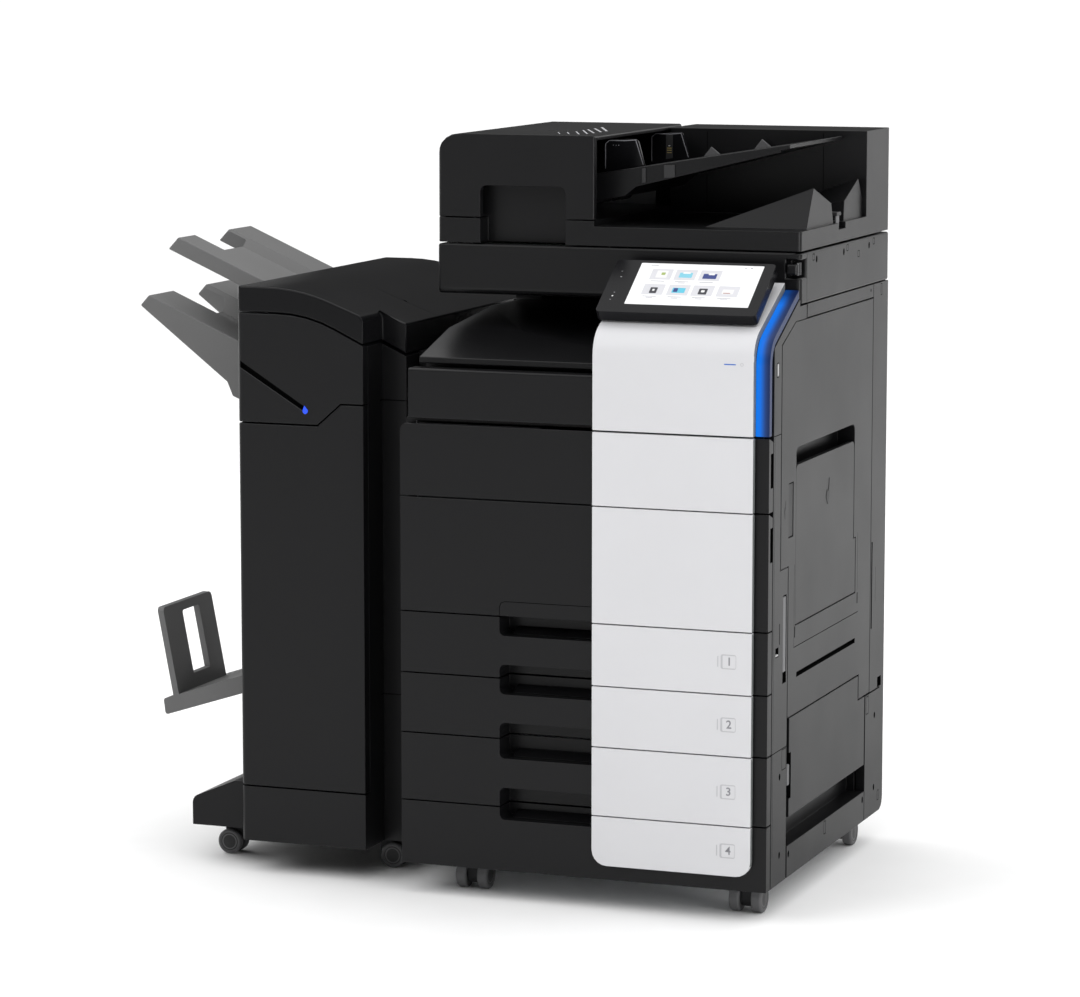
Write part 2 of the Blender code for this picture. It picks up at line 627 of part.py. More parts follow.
# ---------------------------------------------------------------- finisher
def arc_line(flat_z, start_x, end_x, fall, pieces):
    """A line in x, z that runs flat, bends down and ends at a steady fall: points to end_x."""
    angle = math.atan(fall)
    radius = (end_x - start_x) / math.sin(angle)
    points = []
    for step in range(pieces + 1):
        turn = angle * step / pieces
        points.append((start_x + radius * math.sin(turn), flat_z - radius * (1 - math.cos(turn))))
    return points


TOP_LINE = dict(flat_z=FIN_TOP, start_x=-0.250, end_x=-0.140, fall=0.385, pieces=5)
COVER_SEAM = dict(flat_z=0.9275, start_x=-0.230, end_x=-0.130, fall=0.485, pieces=4)


def finisher_line(line, left, right, shift=0.0):
    points = arc_line(**line)
    last = points[-1]
    points = [(left, line["flat_z"])] + points + [(right, last[1] - line["fall"] * (right - last[0]))]
    return [(x, z + shift) for x, z in points]


def lower_seam(left, right, shift):
    return [(left, 0.748 + shift), (-0.161, 0.748 + shift), (-0.1200, 0.784 + shift), (right, 0.784 + shift)]


def build_finisher():
    skin_back = FIN_FRONT + FIN_SKIN + 0.001
    frame = put("finisher_frame", blocks("finisher_frame", [
        (FIN_LEFT, FIN_STEP, FIN_FRONT, FIN_BACK, FIN_BOTTOM, FIN_BASE - SEAM),
        (FIN_STEP, FIN_RIGHT, FIN_RECESS, FIN_BACK, FIN_BOTTOM, FIN_BASE - SEAM),
        (FIN_LEFT, FIN_LEFT + 0.012, skin_back, FIN_BACK, FIN_BASE - SEAM, 0.852),
        (FIN_RIGHT - 0.012, FIN_RIGHT, FIN_RECESS, FIN_BACK, FIN_BASE - SEAM, 0.852),
        (FIN_STEP, FIN_RIGHT, FIN_RECESS, FIN_RECESS + 0.012, FIN_BASE - SEAM, 0.852),
        (FIN_STEP - 0.010, FIN_STEP, skin_back, FIN_RECESS + 0.012, FIN_BASE - SEAM, 0.852),
        (FIN_LEFT, FIN_RIGHT, FIN_BACK - 0.012, FIN_BACK, FIN_BASE - SEAM, 0.852),
        (FIN_LEFT, FIN_STEP, skin_back, FIN_BACK, 0.842, 0.852),
        (FIN_STEP, FIN_RIGHT, FIN_RECESS, FIN_BACK, 0.842, 0.852),
    ]), CHARCOAL)
    foot = rounded([
        (-0.4136, 0.062), (-0.290, 0.062), (-0.290, 0.1430), (-0.338, 0.1405), (-0.4136, 0.109, 0.014),
    ], 3)
    join(frame, prism("foot", foot, "y", 0.088, 0.620))
    for x in FIN_WHEEL_X:
        join(frame, box("rear_bracket", x - 0.0055, x + 0.0055, 0.568, 0.592, 0.012, 0.070))
    for x in FIN_WHEEL_X:
        middle = (x, FIN_REAR_AXLE, FIN_WHEEL_RADIUS * FLAT)
        cut(frame, drum("axle_hole", middle, "x", 0.0046, 0.05, 16))

    left_edge = dict(axis="z", corner=(FIN_LEFT, FIN_FRONT), toward=(1, 1), radius=FIN_ROUND)
    round_corner(frame, **left_edge, low=0.0, high=FIN_BASE + 0.001)

    front_low, front_high = FIN_FRONT, FIN_FRONT + FIN_SKIN
    upper = lower_seam(FIN_LEFT, FIN_STEP, SEAM) + finisher_line(COVER_SEAM, FIN_LEFT, FIN_STEP, -SEAM)[::-1]
    front_cover = put("finisher_front_cover", prism("front_cover", upper, "y", front_low, front_high),
                      CHARCOAL)
    round_corner(front_cover, **left_edge, low=0.7, high=1.0)
    door_outline = [(FIN_LEFT, FIN_BASE + SEAM), (FIN_STEP, FIN_BASE + SEAM)]
    door_outline += lower_seam(FIN_LEFT, FIN_STEP, -SEAM)[::-1]
    door = put("finisher_front_door", prism("front_door", door_outline, "y", front_low, front_high),
               CHARCOAL, (FIN_LEFT, FIN_FRONT, 0.45))
    round_corner(door, **left_edge, low=0.1, high=0.8)

    outer = finisher_line(TOP_LINE, FIN_LEFT, FIN_RIGHT)
    seam = finisher_line(COVER_SEAM, FIN_LEFT, FIN_RIGHT, SEAM)
    hinge = (FIN_LEFT, FIN_BACK, 0.8605)
    cover = put("finisher_top_cover", prism("top_cover", seam + outer[::-1], "y", FIN_RECESS, FIN_BACK),
                CHARCOAL, hinge)
    outer = finisher_line(TOP_LINE, FIN_LEFT, FIN_STEP)
    outer[-1] = (*outer[-1], 0.014)
    seam = finisher_line(COVER_SEAM, FIN_LEFT, FIN_STEP, SEAM)
    top_front = prism("top_front", rounded(seam + outer[::-1], 5), "y", FIN_FRONT, FIN_RECESS + 0.01)
    join(cover, top_front)
    round_corner(cover, **left_edge, low=0.9, high=1.0)
    room = [(-0.290, 0.84), (-0.290, 0.958), (-0.245, 0.958), (-0.14, 0.930), (-0.050, 0.893), (-0.050, 0.84)]
    cut(cover, prism("top_room", room, "y", FIN_RECESS + 0.012, FIN_BACK - 0.012))
    skirt = [
        (FIN_LEFT, 0.8500), (FIN_RIGHT, 0.8500), (FIN_RIGHT, 0.8570), (FIN_STEP - 0.002, 0.8770),
        (-0.130, 0.9010), (-0.230, 0.9240), (FIN_LEFT, 0.9240),
    ]
    # the fixed shell between the frame's top plate and the cover's lower edge
    join(frame, prism("side_shell", skirt, "y", FIN_RECESS, FIN_BACK))
    front_shell = [
        (FIN_LEFT, 0.8500), (FIN_STEP, 0.8500), (FIN_STEP, 0.8770), (-0.130, 0.9010),
        (-0.230, 0.9240), (FIN_LEFT, 0.9240),
    ]
    join(frame, prism("front_shell", front_shell, "y", skin_back, FIN_RECESS + 0.01))


def build_output_trays():
    root = FIN_LEFT - 0.0005
    fall = 0.436
    upper = [
        (root, 0.955), (-0.481, 0.955 + fall * 0.179), (-0.500, 1.0127), (root, 0.926),
    ]
    tray = put("finisher_tray_upper", prism("tray_upper", upper, "y", 0.200, 0.490), GREY)
    cut(tray, box("tray_notch", -0.60, -0.448, 0.267, 0.400, 0.90, 1.10))

    lower = [
        (root, 0.8325), (-0.537, 0.8325 + fall * 0.235), (LEFT_TIP, 0.9167), (-0.395, 0.7936),
        (-0.385, 0.7700), (root, 0.7350),
    ]
    tray = put("finisher_tray_lower", prism("tray_lower", lower, "y", 0.200, 0.530), GREY,
               (root, 0.365, 0.80))
    cut(tray, box("tray_notch", -0.60, -0.500, 0.307, 0.425, 0.80, 1.00))

    plate = rounded([
        (root, 0.323), (-0.495, 0.2585, 0.004), (-0.4915, 0.2310, 0.004), (root, 0.292),
    ], 2)
    tray = put("booklet_tray", prism("plate", plate, "y", 0.150, 0.400), GREY)
    stand = rounded([
        (0.1505, 0.255), (0.340, 0.255), (0.340, 0.4135, 0.008), (0.1505, 0.4135, 0.008),
    ], 3)
    slot = rounded([
        (0.220, 0.292), (0.285, 0.292), (0.285, 0.3985, 0.004), (0.220, 0.3985, 0.004),
    ], 2)
    lean = Matrix.Shear("YZ", 4, (0.0, 0.0))
    lean[0][2] = -0.19
    for shape, act, low, high in ((stand, join, -0.478, -0.467), (slot, cut, -0.60, -0.45)):
        mesh = prism("stand", shape, "x", low, high)
        mesh.transform(Matrix.Translation((0, 0, 0.27)) @ lean @ Matrix.Translation((0, 0, -0.27)))
        act(tray, mesh)


# ---------------------------------------------------------------- casters
def wheel_profile(radius, half_width, half_gap, axle):
    soft = 0.003
    return [
        (-half_width, 0), (-half_width, radius - soft), (-half_width + soft, radius),
        (-half_gap - 0.002, radius), (-half_gap, radius - 0.002), (-half_gap, axle),
        (half_gap, axle), (half_gap, radius - 0.002), (half_gap + 0.002, radius),
        (half_width - soft, radius), (half_width, radius - soft), (half_width, 0),
    ]


def build_caster(name, x, y, swivel_top, radius, roll_axis, side):
    """A twin wheel on an axle, and the fork between the wheels that turns under the frame."""
    half_gap, half_width, axle = 0.0095, 0.0270, 0.0040
    if roll_axis == "y":
        half_gap, half_width = 0.0070, 0.0190
    height = radius * FLAT
    middle = (x, y, height)
    profile = wheel_profile(radius, half_width, half_gap, axle)
    put(name + "_wheels", turned("wheels", profile, middle, roll_axis, WHEEL_SIDES), RUBBER, middle)
    along = 1 if roll_axis == "x" else 0
    centre = middle[along]
    swivel = centre + side * TRAIL
    reach = swivel + side * 0.010
    low, high = min(centre - side * 0.011, reach), max(centre - side * 0.011, reach)
    outline = rounded([
        (low, height - 0.010, 0.005), (high, height - 0.010, 0.005),
        (high, swivel_top - GAP, 0.002), (low, swivel_top - GAP, 0.002),
    ], 2)
    thick = half_gap - 0.0010
    across = middle[1 - along]
    fork_mesh = prism("fork", outline, roll_axis, across - thick, across + thick)
    origin = [x, y, swivel_top]
    origin[along] = swivel
    fork = put(name + "_fork", fork_mesh, GREY, origin)
    cut(fork, drum("axle_hole", middle, roll_axis, axle + 0.0006, 0.05, 16))


def build_casters():
    for name, x, y, side in (
        ("caster_front_left", 0.0986, 0.075, 1), ("caster_front_right", 0.5630, 0.075, 1),
        ("caster_rear_left", 0.0986, 0.586, -1), ("caster_rear_right", 0.5630, 0.586, -1),
    ):
        build_caster(name, x, y, UNDERSIDE, CASTER_RADIUS, "x", side)
    for name, x, top, side in (
        ("finisher_caster_left", FIN_WHEEL_X[0], 0.062, 1),
        ("finisher_caster_right", FIN_WHEEL_X[1], FIN_BOTTOM, -1),
    ):
        build_caster(name, x, FIN_FRONT_AXLE, top, FIN_WHEEL_RADIUS, "y", side)
    for name, x in zip(("finisher_wheel_left", "finisher_wheel_right"), FIN_WHEEL_X):
        middle = (x, FIN_REAR_AXLE, FIN_WHEEL_RADIUS * FLAT)
        profile = wheel_profile(FIN_WHEEL_RADIUS, 0.0190, 0.0070, 0.0040)
        put(name, turned("wheels", profile, middle, "x", WHEEL_SIDES), RUBBER, middle)


build_frames()
build_drawers()
build_front_doors()
build_upper_front()
build_relay()
build_right_side()
build_panel()
build_insides()
build_scanner()
build_feeder()
build_finisher()
build_output_trays()
build_casters()
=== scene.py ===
"""Looks of the photocopier and its finisher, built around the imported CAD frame.

Places are in the machine's own frame, in metres: X = 0 is the left edge of the black front panels,
Y = 0 is their plane and Z = 0 is the floor. ORIGIN carries them into the row frame.
"""

import json
import math

import bmesh
import bpy
from mathutils import Matrix, Vector

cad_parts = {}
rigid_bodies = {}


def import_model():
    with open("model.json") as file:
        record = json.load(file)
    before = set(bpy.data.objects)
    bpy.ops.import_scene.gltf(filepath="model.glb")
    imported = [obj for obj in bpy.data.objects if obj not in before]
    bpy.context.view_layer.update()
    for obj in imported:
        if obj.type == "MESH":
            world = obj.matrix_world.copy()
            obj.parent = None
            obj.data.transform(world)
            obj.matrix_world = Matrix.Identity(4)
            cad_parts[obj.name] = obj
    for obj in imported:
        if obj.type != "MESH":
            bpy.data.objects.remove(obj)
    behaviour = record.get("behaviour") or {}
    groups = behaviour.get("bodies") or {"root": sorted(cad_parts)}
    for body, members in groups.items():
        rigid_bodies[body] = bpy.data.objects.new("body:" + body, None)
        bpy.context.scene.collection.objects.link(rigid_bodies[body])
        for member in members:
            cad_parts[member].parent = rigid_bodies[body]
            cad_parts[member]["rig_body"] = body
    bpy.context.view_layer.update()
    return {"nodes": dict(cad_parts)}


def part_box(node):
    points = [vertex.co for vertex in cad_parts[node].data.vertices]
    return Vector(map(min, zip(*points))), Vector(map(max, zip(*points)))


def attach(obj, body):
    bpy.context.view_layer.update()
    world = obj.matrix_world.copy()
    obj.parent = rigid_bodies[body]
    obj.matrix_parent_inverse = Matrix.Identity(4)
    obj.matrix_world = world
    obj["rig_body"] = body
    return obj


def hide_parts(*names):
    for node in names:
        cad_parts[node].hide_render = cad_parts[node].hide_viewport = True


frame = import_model()
nodes = frame["nodes"]

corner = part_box("drawer_4_front")[0]
ORIGIN = Vector((corner.x, corner.y, 0.0))

# ---------------- named sizes
WIDTH = 0.615
DEPTH = 0.667
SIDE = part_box("right_upper_door")[1].x - ORIGIN.x  # outer face of the right-hand side
FACING_RIGHT = 0.592
FACING_FRONT = -0.01
COVER_TOP = 1.2165
PANEL_TILT = math.radians(33.7)
PANEL_SIZE = (0.2625, 0.1303)
PANEL_MIDDLE = (0.4545, 0.07, 0.988)
SCREEN_MARGINS = (0.0421, 0.0178, 0.0206, 0.006)  # left, right, front, back
FIN_LEFT, FIN_STEP, FIN_RIGHT = -0.302, -0.08, -0.0375
FIN_FRONT, FIN_RECESS, FIN_BACK, FIN_TOP = 0.04, 0.12, 0.665, 0.97
DRAWERS = ((1, 0.3628, 0.4622, 0.031), (2, 0.265, 0.3628, 0.026), (3, 0.1543, 0.265, 0.032),
           (4, 0.05, 0.1543, 0.021))  # number, lower and upper seam, grip depth
WELD, DISSOLVE = 0.00005, math.radians(1.0)
SHARP = math.radians(30.0)
INK = 0.00025  # thickness of a printed mark
WALL_TOP, CEILING_FROM = 0.36, 0.7  # sines of elevation in the studio light
WALL_LIGHT, CEILING_LIGHT = 0.05, 1.64  # and its brightness there
LAMP_FADE = (0.962, 0.976)  # heights between which the blue lamp dims


# ---------------- materials
def surface(name, colour, roughness, specular=0.5, metallic=0.0, grain=0.12, size=0.0011, mottle=0.05,
            uneven=0.05):
    """Moulded plastic, rubber or metal: fine grain, faint cloudiness and uneven gloss."""
    made = bpy.data.materials.new(name)
    made.use_nodes = True
    tree = made.node_tree
    shader = tree.nodes["Principled BSDF"]
    shader.inputs["Metallic"].default_value = metallic
    shader.inputs["Specular IOR Level"].default_value = specular
    place = tree.nodes.new("ShaderNodeTexCoord").outputs["Object"]
    fine = noise(tree, place, 1.0 / size, 3.0)
    cloud = noise(tree, place, 7.0, 4.0)
    ramp = tree.nodes.new("ShaderNodeValToRGB")
    ramp.color_ramp.elements[0].position, ramp.color_ramp.elements[1].position = 0.3, 0.7
    ramp.color_ramp.elements[0].color = (*[c * (1 - mottle) for c in colour], 1.0)
    ramp.color_ramp.elements[1].color = (*[min(1.0, c * (1 + mottle)) for c in colour], 1.0)
    tree.links.new(cloud, ramp.inputs["Fac"])
    tree.links.new(ramp.outputs["Color"], shader.inputs["Base Color"])
    gloss = map_range(tree, cloud, (0.0, 1.0), (roughness - uneven, roughness + uneven))
    tree.links.new(gloss, shader.inputs["Roughness"])
    if grain:
        bump = tree.nodes.new("ShaderNodeBump")
        bump.inputs["Strength"].default_value = grain
        bump.inputs["Distance"].default_value = size * 0.3
        tree.links.new(fine, bump.inputs["Height"])
        tree.links.new(bump.outputs["Normal"], shader.inputs["Normal"])
    return made


def noise(tree, place, scale, detail):
    texture = tree.nodes.new("ShaderNodeTexNoise")
    texture.inputs["Scale"].default_value = scale
    texture.inputs["Detail"].default_value = detail
    tree.links.new(place, texture.inputs["Vector"])
    return texture.outputs["Fac"]


def map_range(tree, value, inputs, outputs, steps="LINEAR"):
    """A node that maps one range of a value onto another; returns its output."""
    node = tree.nodes.new("ShaderNodeMapRange")
    node.interpolation_type = steps
    node.inputs["From Min"].default_value, node.inputs["From Max"].default_value = inputs
    node.inputs["To Min"].default_value, node.inputs["To Max"].default_value = outputs
    tree.links.new(value, node.inputs["Value"])
    return node.outputs["Result"]


def split_place(tree, kind="Object"):
    """The X, Y and Z of a point, or in the world of a direction, as a node's outputs."""
    split = tree.nodes.new("ShaderNodeSeparateXYZ")
    tree.links.new(tree.nodes.new("ShaderNodeTexCoord").outputs[kind], split.inputs["Vector"])
    return split.outputs


def glow(made, colour, strength):
    shader = made.node_tree.nodes["Principled BSDF"]
    shader.inputs["Emission Color"].default_value = (*colour, 1.0)
    shader.inputs["Emission Strength"].default_value = strength
    return made


def fading_light():
    """Blue light guide: brightest beside the white cover, navy at its outer edge, dim at its top."""
    made = surface("light_guide", (0.004, 0.012, 0.06), 0.3, 0.12, grain=0.0)
    tree = made.node_tree
    shader = tree.nodes["Principled BSDF"]
    place = split_place(tree)
    across = map_range(tree, place["X"], (ORIGIN.x + FACING_RIGHT, ORIGIN.x + WIDTH), (0.0, 1.0))
    ramp = tree.nodes.new("ShaderNodeValToRGB")
    stops = ramp.color_ramp.elements
    stops[0].position, stops[0].color = 0.0, (0.0, 0.19, 0.82, 1.0)
    stops[1].position, stops[1].color = 1.0, (0.006, 0.014, 0.035, 1.0)
    for position, colour in ((0.34, (0.002, 0.155, 0.74)), (0.5, (0.01, 0.1, 0.42)),
                             (0.66, (0.014, 0.048, 0.17)), (0.84, (0.01, 0.022, 0.06))):
        stop = ramp.color_ramp.elements.new(position)
        stop.color = (*colour, 1.0)
    tree.links.new(across, ramp.inputs["Fac"])
    fade = map_range(tree, place["Z"], LAMP_FADE, (1.0, 0.25))
    tree.links.new(ramp.outputs["Color"], shader.inputs["Emission Color"])
    tree.links.new(fade, shader.inputs["Emission Strength"])
    return made


def side_plastic():
    """Charcoal plastic for the right-hand side faces only, with a painted sheen: its gloss (specular level)
    falls off towards the floor, a painted reflection that fades downwards.
    """
    made = surface("charcoal_side_painted_sheen", BLACK, 0.34)
    tree = made.node_tree
    gloss = map_range(tree, split_place(tree)["Z"], (0.15, 1.15), (0.085, 0.25))
    tree.links.new(gloss, tree.nodes["Principled BSDF"].inputs["Specular IOR Level"])
    return made


def ink(name, colour):
    return surface(name, colour, 0.5, 0.3, grain=0.0)


BLACK = (0.0056, 0.0056, 0.0062)
CHARCOAL = surface("charcoal_plastic", BLACK, 0.34, 0.21)
# Painted sheen: a copy of the charcoal plastic for right-hand side faces only, its reflection graded by
# height.
CHARCOAL_SIDE_PAINTED_SHEEN = side_plastic()
CHARCOAL_TOP = surface("charcoal_top", BLACK, 0.22, 0.12, grain=0.03, uneven=0.02)
WHITE = surface("white_plastic", (0.635, 0.635, 0.652), 0.38, 0.35, grain=0.06, mottle=0.01)
TRAY_GREY = surface("tray_grey_plastic", (0.125, 0.125, 0.125), 0.45, 0.35, mottle=0.04)
GREY = surface("grey_plastic", (0.13, 0.13, 0.135), 0.5, 0.4)
PALE = surface("pale_grey_plastic", (0.42, 0.42, 0.42), 0.5, 0.4, grain=0.05)
GLOSS = surface("black_gloss", (0.006, 0.006, 0.007), 0.18, 0.12, grain=0.0, uneven=0.02)
# Near-black painted shade: lines the cut faces of slots and recesses, and makes thin sheets that stand in
# for openings.
RECESS_SHADE = surface("painted_recess_shade", (0.0012, 0.0012, 0.0013), 0.85, 0.05, grain=0.0)
STEEL = surface("sheet_steel", (0.5, 0.51, 0.52), 0.38, metallic=1.0, grain=0.08, size=0.002, mottle=0.06)
CHROME = surface("bright_steel", (0.72, 0.72, 0.73), 0.2, metallic=1.0, grain=0.0)
RUBBER = surface("wheel_rubber", (0.016, 0.016, 0.017), 0.6, 0.25, grain=0.2)
HUB = surface("wheel_hub", (0.023, 0.023, 0.024), 0.45, 0.35)
RIM = surface("wheel_rim", (0.115, 0.115, 0.118), 0.5, 0.35)
TONER = surface("toner_black", (0.012, 0.012, 0.012), 0.4, 0.4)
GREEN = surface("touch_point_green", (0.02, 0.22, 0.1), 0.4, 0.5, grain=0.05)
PRINT_GREY = ink("printed_grey", (0.24, 0.24, 0.26))
# Painted shade: the grey that the white facings' right-hand side faces take in place of white.
FACING_SIDE_SHADE = surface("facing_side_painted_shade", (0.15, 0.16, 0.16), 0.5, 0.3, grain=0.05)
PRINT_PALE = ink("printed_pale_grey", (0.47, 0.47, 0.49))
PRINT_WHITE = ink("printed_white", (0.75, 0.75, 0.75))
PRINT_DIM = surface("printed_dim", (0.035, 0.035, 0.036), 0.5, 0.2, grain=0.0)
PRINT_GOLD = ink("printed_gold", (0.42, 0.33, 0.12))
MARK_BLUE = surface("printed_blue", (0.03, 0.13, 0.55), 0.4, 0.3, grain=0.0)
BLUE_LAMP = glow(surface("blue_lamp", (0.01, 0.04, 0.4), 0.25, 0.5, grain=0.0), (0.004, 0.06, 0.75), 0.8)
SCREEN_WHITE = glow(surface("screen_white", (0.72, 0.72, 0.73), 0.2, 0.3, grain=0.0), (1, 1, 1), 0.2)
LIGHT_GUIDE = fading_light()


def glass():
    made = surface("platen_glass", (0.55, 0.62, 0.61), 0.03, 0.5, grain=0.0, uneven=0.01)
    shader = made.node_tree.nodes["Principled BSDF"]
    shader.inputs["Transmission Weight"].default_value = 0.92
    shader.inputs["IOR"].default_value = 1.45
    return made


GLASS = glass()


# ---------------- meshes
def finish_mesh(name, shape):
    bmesh.ops.recalc_face_normals(shape, faces=shape.faces)
    mesh = bpy.data.meshes.new(name)
    shape.to_mesh(mesh)
    shape.free()
    return mesh


ORDERS = {"x": (2, 0, 1), "y": (0, 2, 1), "z": (0, 1, 2)}


def prism(outline, axis, low, high, hole=None):
    """Extrudes an outline along X (points are y, z), Y (x, z) or Z (x, y), less a hole of as many points."""
    order = ORDERS[axis]
    shape = bmesh.new()

    def loop(points, level):
        return [shape.verts.new([(u, v, level)[n] for n in order]) for u, v in points]

    bottom, top = loop(outline, low), loop(outline, high)
    loops = [(bottom, top)]
    if hole:
        inner_bottom, inner_top = loop(hole, low), loop(hole, high)
        loops.append((inner_bottom, inner_top))
        for n in range(len(outline)):
            m = (n + 1) % len(outline)
            shape.faces.new((bottom[n], bottom[m], inner_bottom[m], inner_bottom[n]))
            shape.faces.new((top[n], top[m], inner_top[m], inner_top[n]))
    else:
        shape.faces.new(bottom)
        shape.faces.new(top)
    for lower, upper in loops:
        for n in range(len(outline)):
            m = (n + 1) % len(outline)
            shape.faces.new((lower[n], lower[m], upper[m], upper[n]))
    return finish_mesh("prism", shape)


def box(x0, x1, y0, y1, z0, z1):
    return prism([(x0, y0), (x1, y0), (x1, y1), (x0, y1)], "z", z0, z1)


def rounded(u0, u1, v0, v1, radius, steps=4):
    """A rectangle's outline with round corners."""
    points = []
    for n, (u, v) in enumerate(((u1 - radius, v1 - radius), (u0 + radius, v1 - radius),
                                (u0 + radius, v0 + radius), (u1 - radius, v0 + radius))):
        for step in range(steps + 1):
            turn = math.pi / 2 * (n + step / steps)
            points.append((u + radius * math.cos(turn), v + radius * math.sin(turn)))
    return points


def oval(u, v, half_u, half_v, sides=20):
    turns = [2 * math.pi * n / sides for n in range(sides)]
    return [(u + half_u * math.cos(t), v + half_v * math.sin(t)) for t in turns]


def stroke(points, width):
    """Outline of a line of this width through the points, with mitred bends."""
    points = [Vector(p) for p in points]
    sides = ([], [])
    for n, point in enumerate(points):
        before = (point - points[n - 1]).normalized() if n else None
        after = (points[n + 1] - point).normalized() if n + 1 < len(points) else None
        along = ((before or after) + (after or before)).normalized()
        across = Vector((-along.y, along.x))
        reach = width / 2 / max(0.4, abs(along.dot(before or after)))
        sides[0].append(point + across * reach)
        sides[1].append(point - across * reach)
    return [tuple(p) for p in sides[0] + sides[1][::-1]]


def turned(profile, middle, axis, sides=48):
    """Spins (along, radius) points about an axis; a radius of 0 closes an end."""
    shape = bmesh.new()
    along_axis = "xyz".index(axis)
    u, v = (along_axis + 1) % 3, (along_axis + 2) % 3
    rings = []
    for along, radius in profile:
        ring = []
        for n in range(sides if radius > 0 else 1):
            angle = 2 * math.pi * n / sides
            place = [0.0, 0.0, 0.0]
            place[along_axis] = middle[along_axis] + along
            place[u] = middle[u] + radius * math.cos(angle)
            place[v] = middle[v] + radius * math.sin(angle)
            ring.append(shape.verts.new(place))
        rings.append(ring)
    for first, second in zip(rings, rings[1:]):
        for n in range(sides):
            m = (n + 1) % sides
            ring = []
            for vert in (first[n % len(first)], first[m % len(first)],
                         second[m % len(second)], second[n % len(second)]):
                if vert not in ring:
                    ring.append(vert)
            shape.faces.new(ring)
    return finish_mesh("turned", shape)


def rod(middle, axis, radius, length, sides=32, soft=0.0):
    half = length / 2
    return turned([(-half, 0), (-half, radius - soft), (-half + soft, radius), (half - soft, radius),
                   (half, radius - soft), (half, 0)], middle, axis, sides)


def merged(meshes):
    shape = bmesh.new()
    for mesh in meshes:
        shape.from_mesh(mesh)
        bpy.data.meshes.remove(mesh)
    mesh = bpy.data.meshes.new("merged")
    shape.to_mesh(mesh)
    shape.free()
    return mesh


# ---------------- objects
def smooth(thing, bevel, segments=2):
    if bevel:
        soft = thing.modifiers.new("soft_edges", "BEVEL")
        soft.width = bevel
        soft.segments = segments
        soft.limit_method = "ANGLE"
        soft.angle_limit = SHARP
        soft.use_clamp_overlap = thing.name not in WIDE_EDGE


def even_normals(thing):
    thing.data.shade_smooth()
    even = thing.modifiers.new("even_normals", "WEIGHTED_NORMAL")
    even.keep_sharp = True


def place_object(name, data, place=ORIGIN):
    thing = bpy.data.objects.new(name, data)
    thing.location = place
    bpy.context.scene.collection.objects.link(thing)
    return thing


def add(name, mesh, body, finish, bevel=0.0004, place=None):
    """A new piece from a mesh in the machine's frame, or in the frame that place gives."""
    if place:
        mesh.transform(place)
    mesh.materials.append(finish)
    piece = place_object(name, mesh)
    smooth(piece, bevel)
    mesh.shade_smooth()
    mesh.set_sharp_from_angle(angle=SHARP)
    even_normals(piece)
    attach(piece, body)
    return piece


def subtract(node, name, mesh, crossing=False):
    """Takes a hidden solid, which rides the node's body, away from a CAD node."""
    target = nodes[node]
    tool = place_object(f"{node}_{name}", mesh)
    tool.hide_render = True
    tool.display_type = "WIRE"
    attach(tool, target["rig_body"])
    cut = target.modifiers.new(name, "BOOLEAN")
    cut.operation = "DIFFERENCE"
    cut.solver = "EXACT"
    cut.use_self = crossing
    cut.object = tool


def carve(node, meshes, crossing=False):
    """Cuts these closed shapes out of a CAD node; the cut faces get a near-black painted shade standing in
    for the shade inside the recess. Crossing shapes say so.
    """
    mesh = merged(meshes)
    mesh.materials.append(CHARCOAL)
    mesh.materials.append(RECESS_SHADE)
    for face in mesh.polygons:
        face.material_index = 1
    subtract(node, "cutter", mesh, crossing)


# ---------------- CAD nodes: finish and soft edges
NODE_FINISH = {
    "white": (WHITE, ["upper_front_cover", "toner_door_facing", "front_door_facing",
                      *[f"drawer_{n}_facing" for n, *_ in DRAWERS]]),
    "grey": (GREY, ["fuser_unit", *[f"paper_tray_{n}" for n, *_ in DRAWERS]]),
    "tray": (TRAY_GREY, ["finisher_tray_upper", "finisher_tray_lower", "booklet_tray"]),
    "gloss": (GLOSS, ["operation_panel", "paper_guide_front", "paper_guide_rear"]),
    "glass": (GLASS, ["platen_glass"]),
    "toner": (TONER, ["toner_bottle", "drum_unit"]),
    "light": (LIGHT_GUIDE, ["status_light_strip"]),
    "top": (CHARCOAL_TOP, ["finisher_top_cover"]),
}
SOFT_EDGE = {"operation_panel": 0.0022, "upper_front_cover": 0.0012, "booklet_tray": 0.0022,
             "finisher_tray_upper": 0.0025, "finisher_tray_lower": 0.003, "platen_glass": 0.0,
             "exit_front_cover": 0.002, "input_tray": 0.001, "finisher_top_cover": 0.0034,
             "finisher_front_cover": 0.002, "finisher_front_door": 0.0018, "feed_cover": 0.002,
             "relay_unit": 0.003, "finisher_frame": 0.0018, "document_feeder": 0.0022,
             "scanner_housing": 0.0032}
PLAIN_EDGE = 0.0008
WIDE_EDGE = ("finisher_front_cover", "finisher_front_door", "finisher_top_cover", "scanner_housing")
SIDEWAYS = 0.9  # a face whose normal leans this far faces sideways
RIGHT_SIDE_FROM = 0.56


def paint_faces(node, finish, chosen):
    """Gives another finish to the faces of a CAD node that chosen(middle, normal) picks."""
    thing = nodes[node]
    thing.data.materials.append(finish)
    for face in thing.data.polygons:
        if chosen(face.center - ORIGIN, face.normal):
            face.material_index = len(thing.data.materials) - 1


def on_outside(middle):
    """Whether a face of a frame is on the machine's dark outside, not hidden behind a cover."""
    return middle.x > 0.575 or middle.x < 0.004 or middle.z > 0.765 or middle.y < 0.03


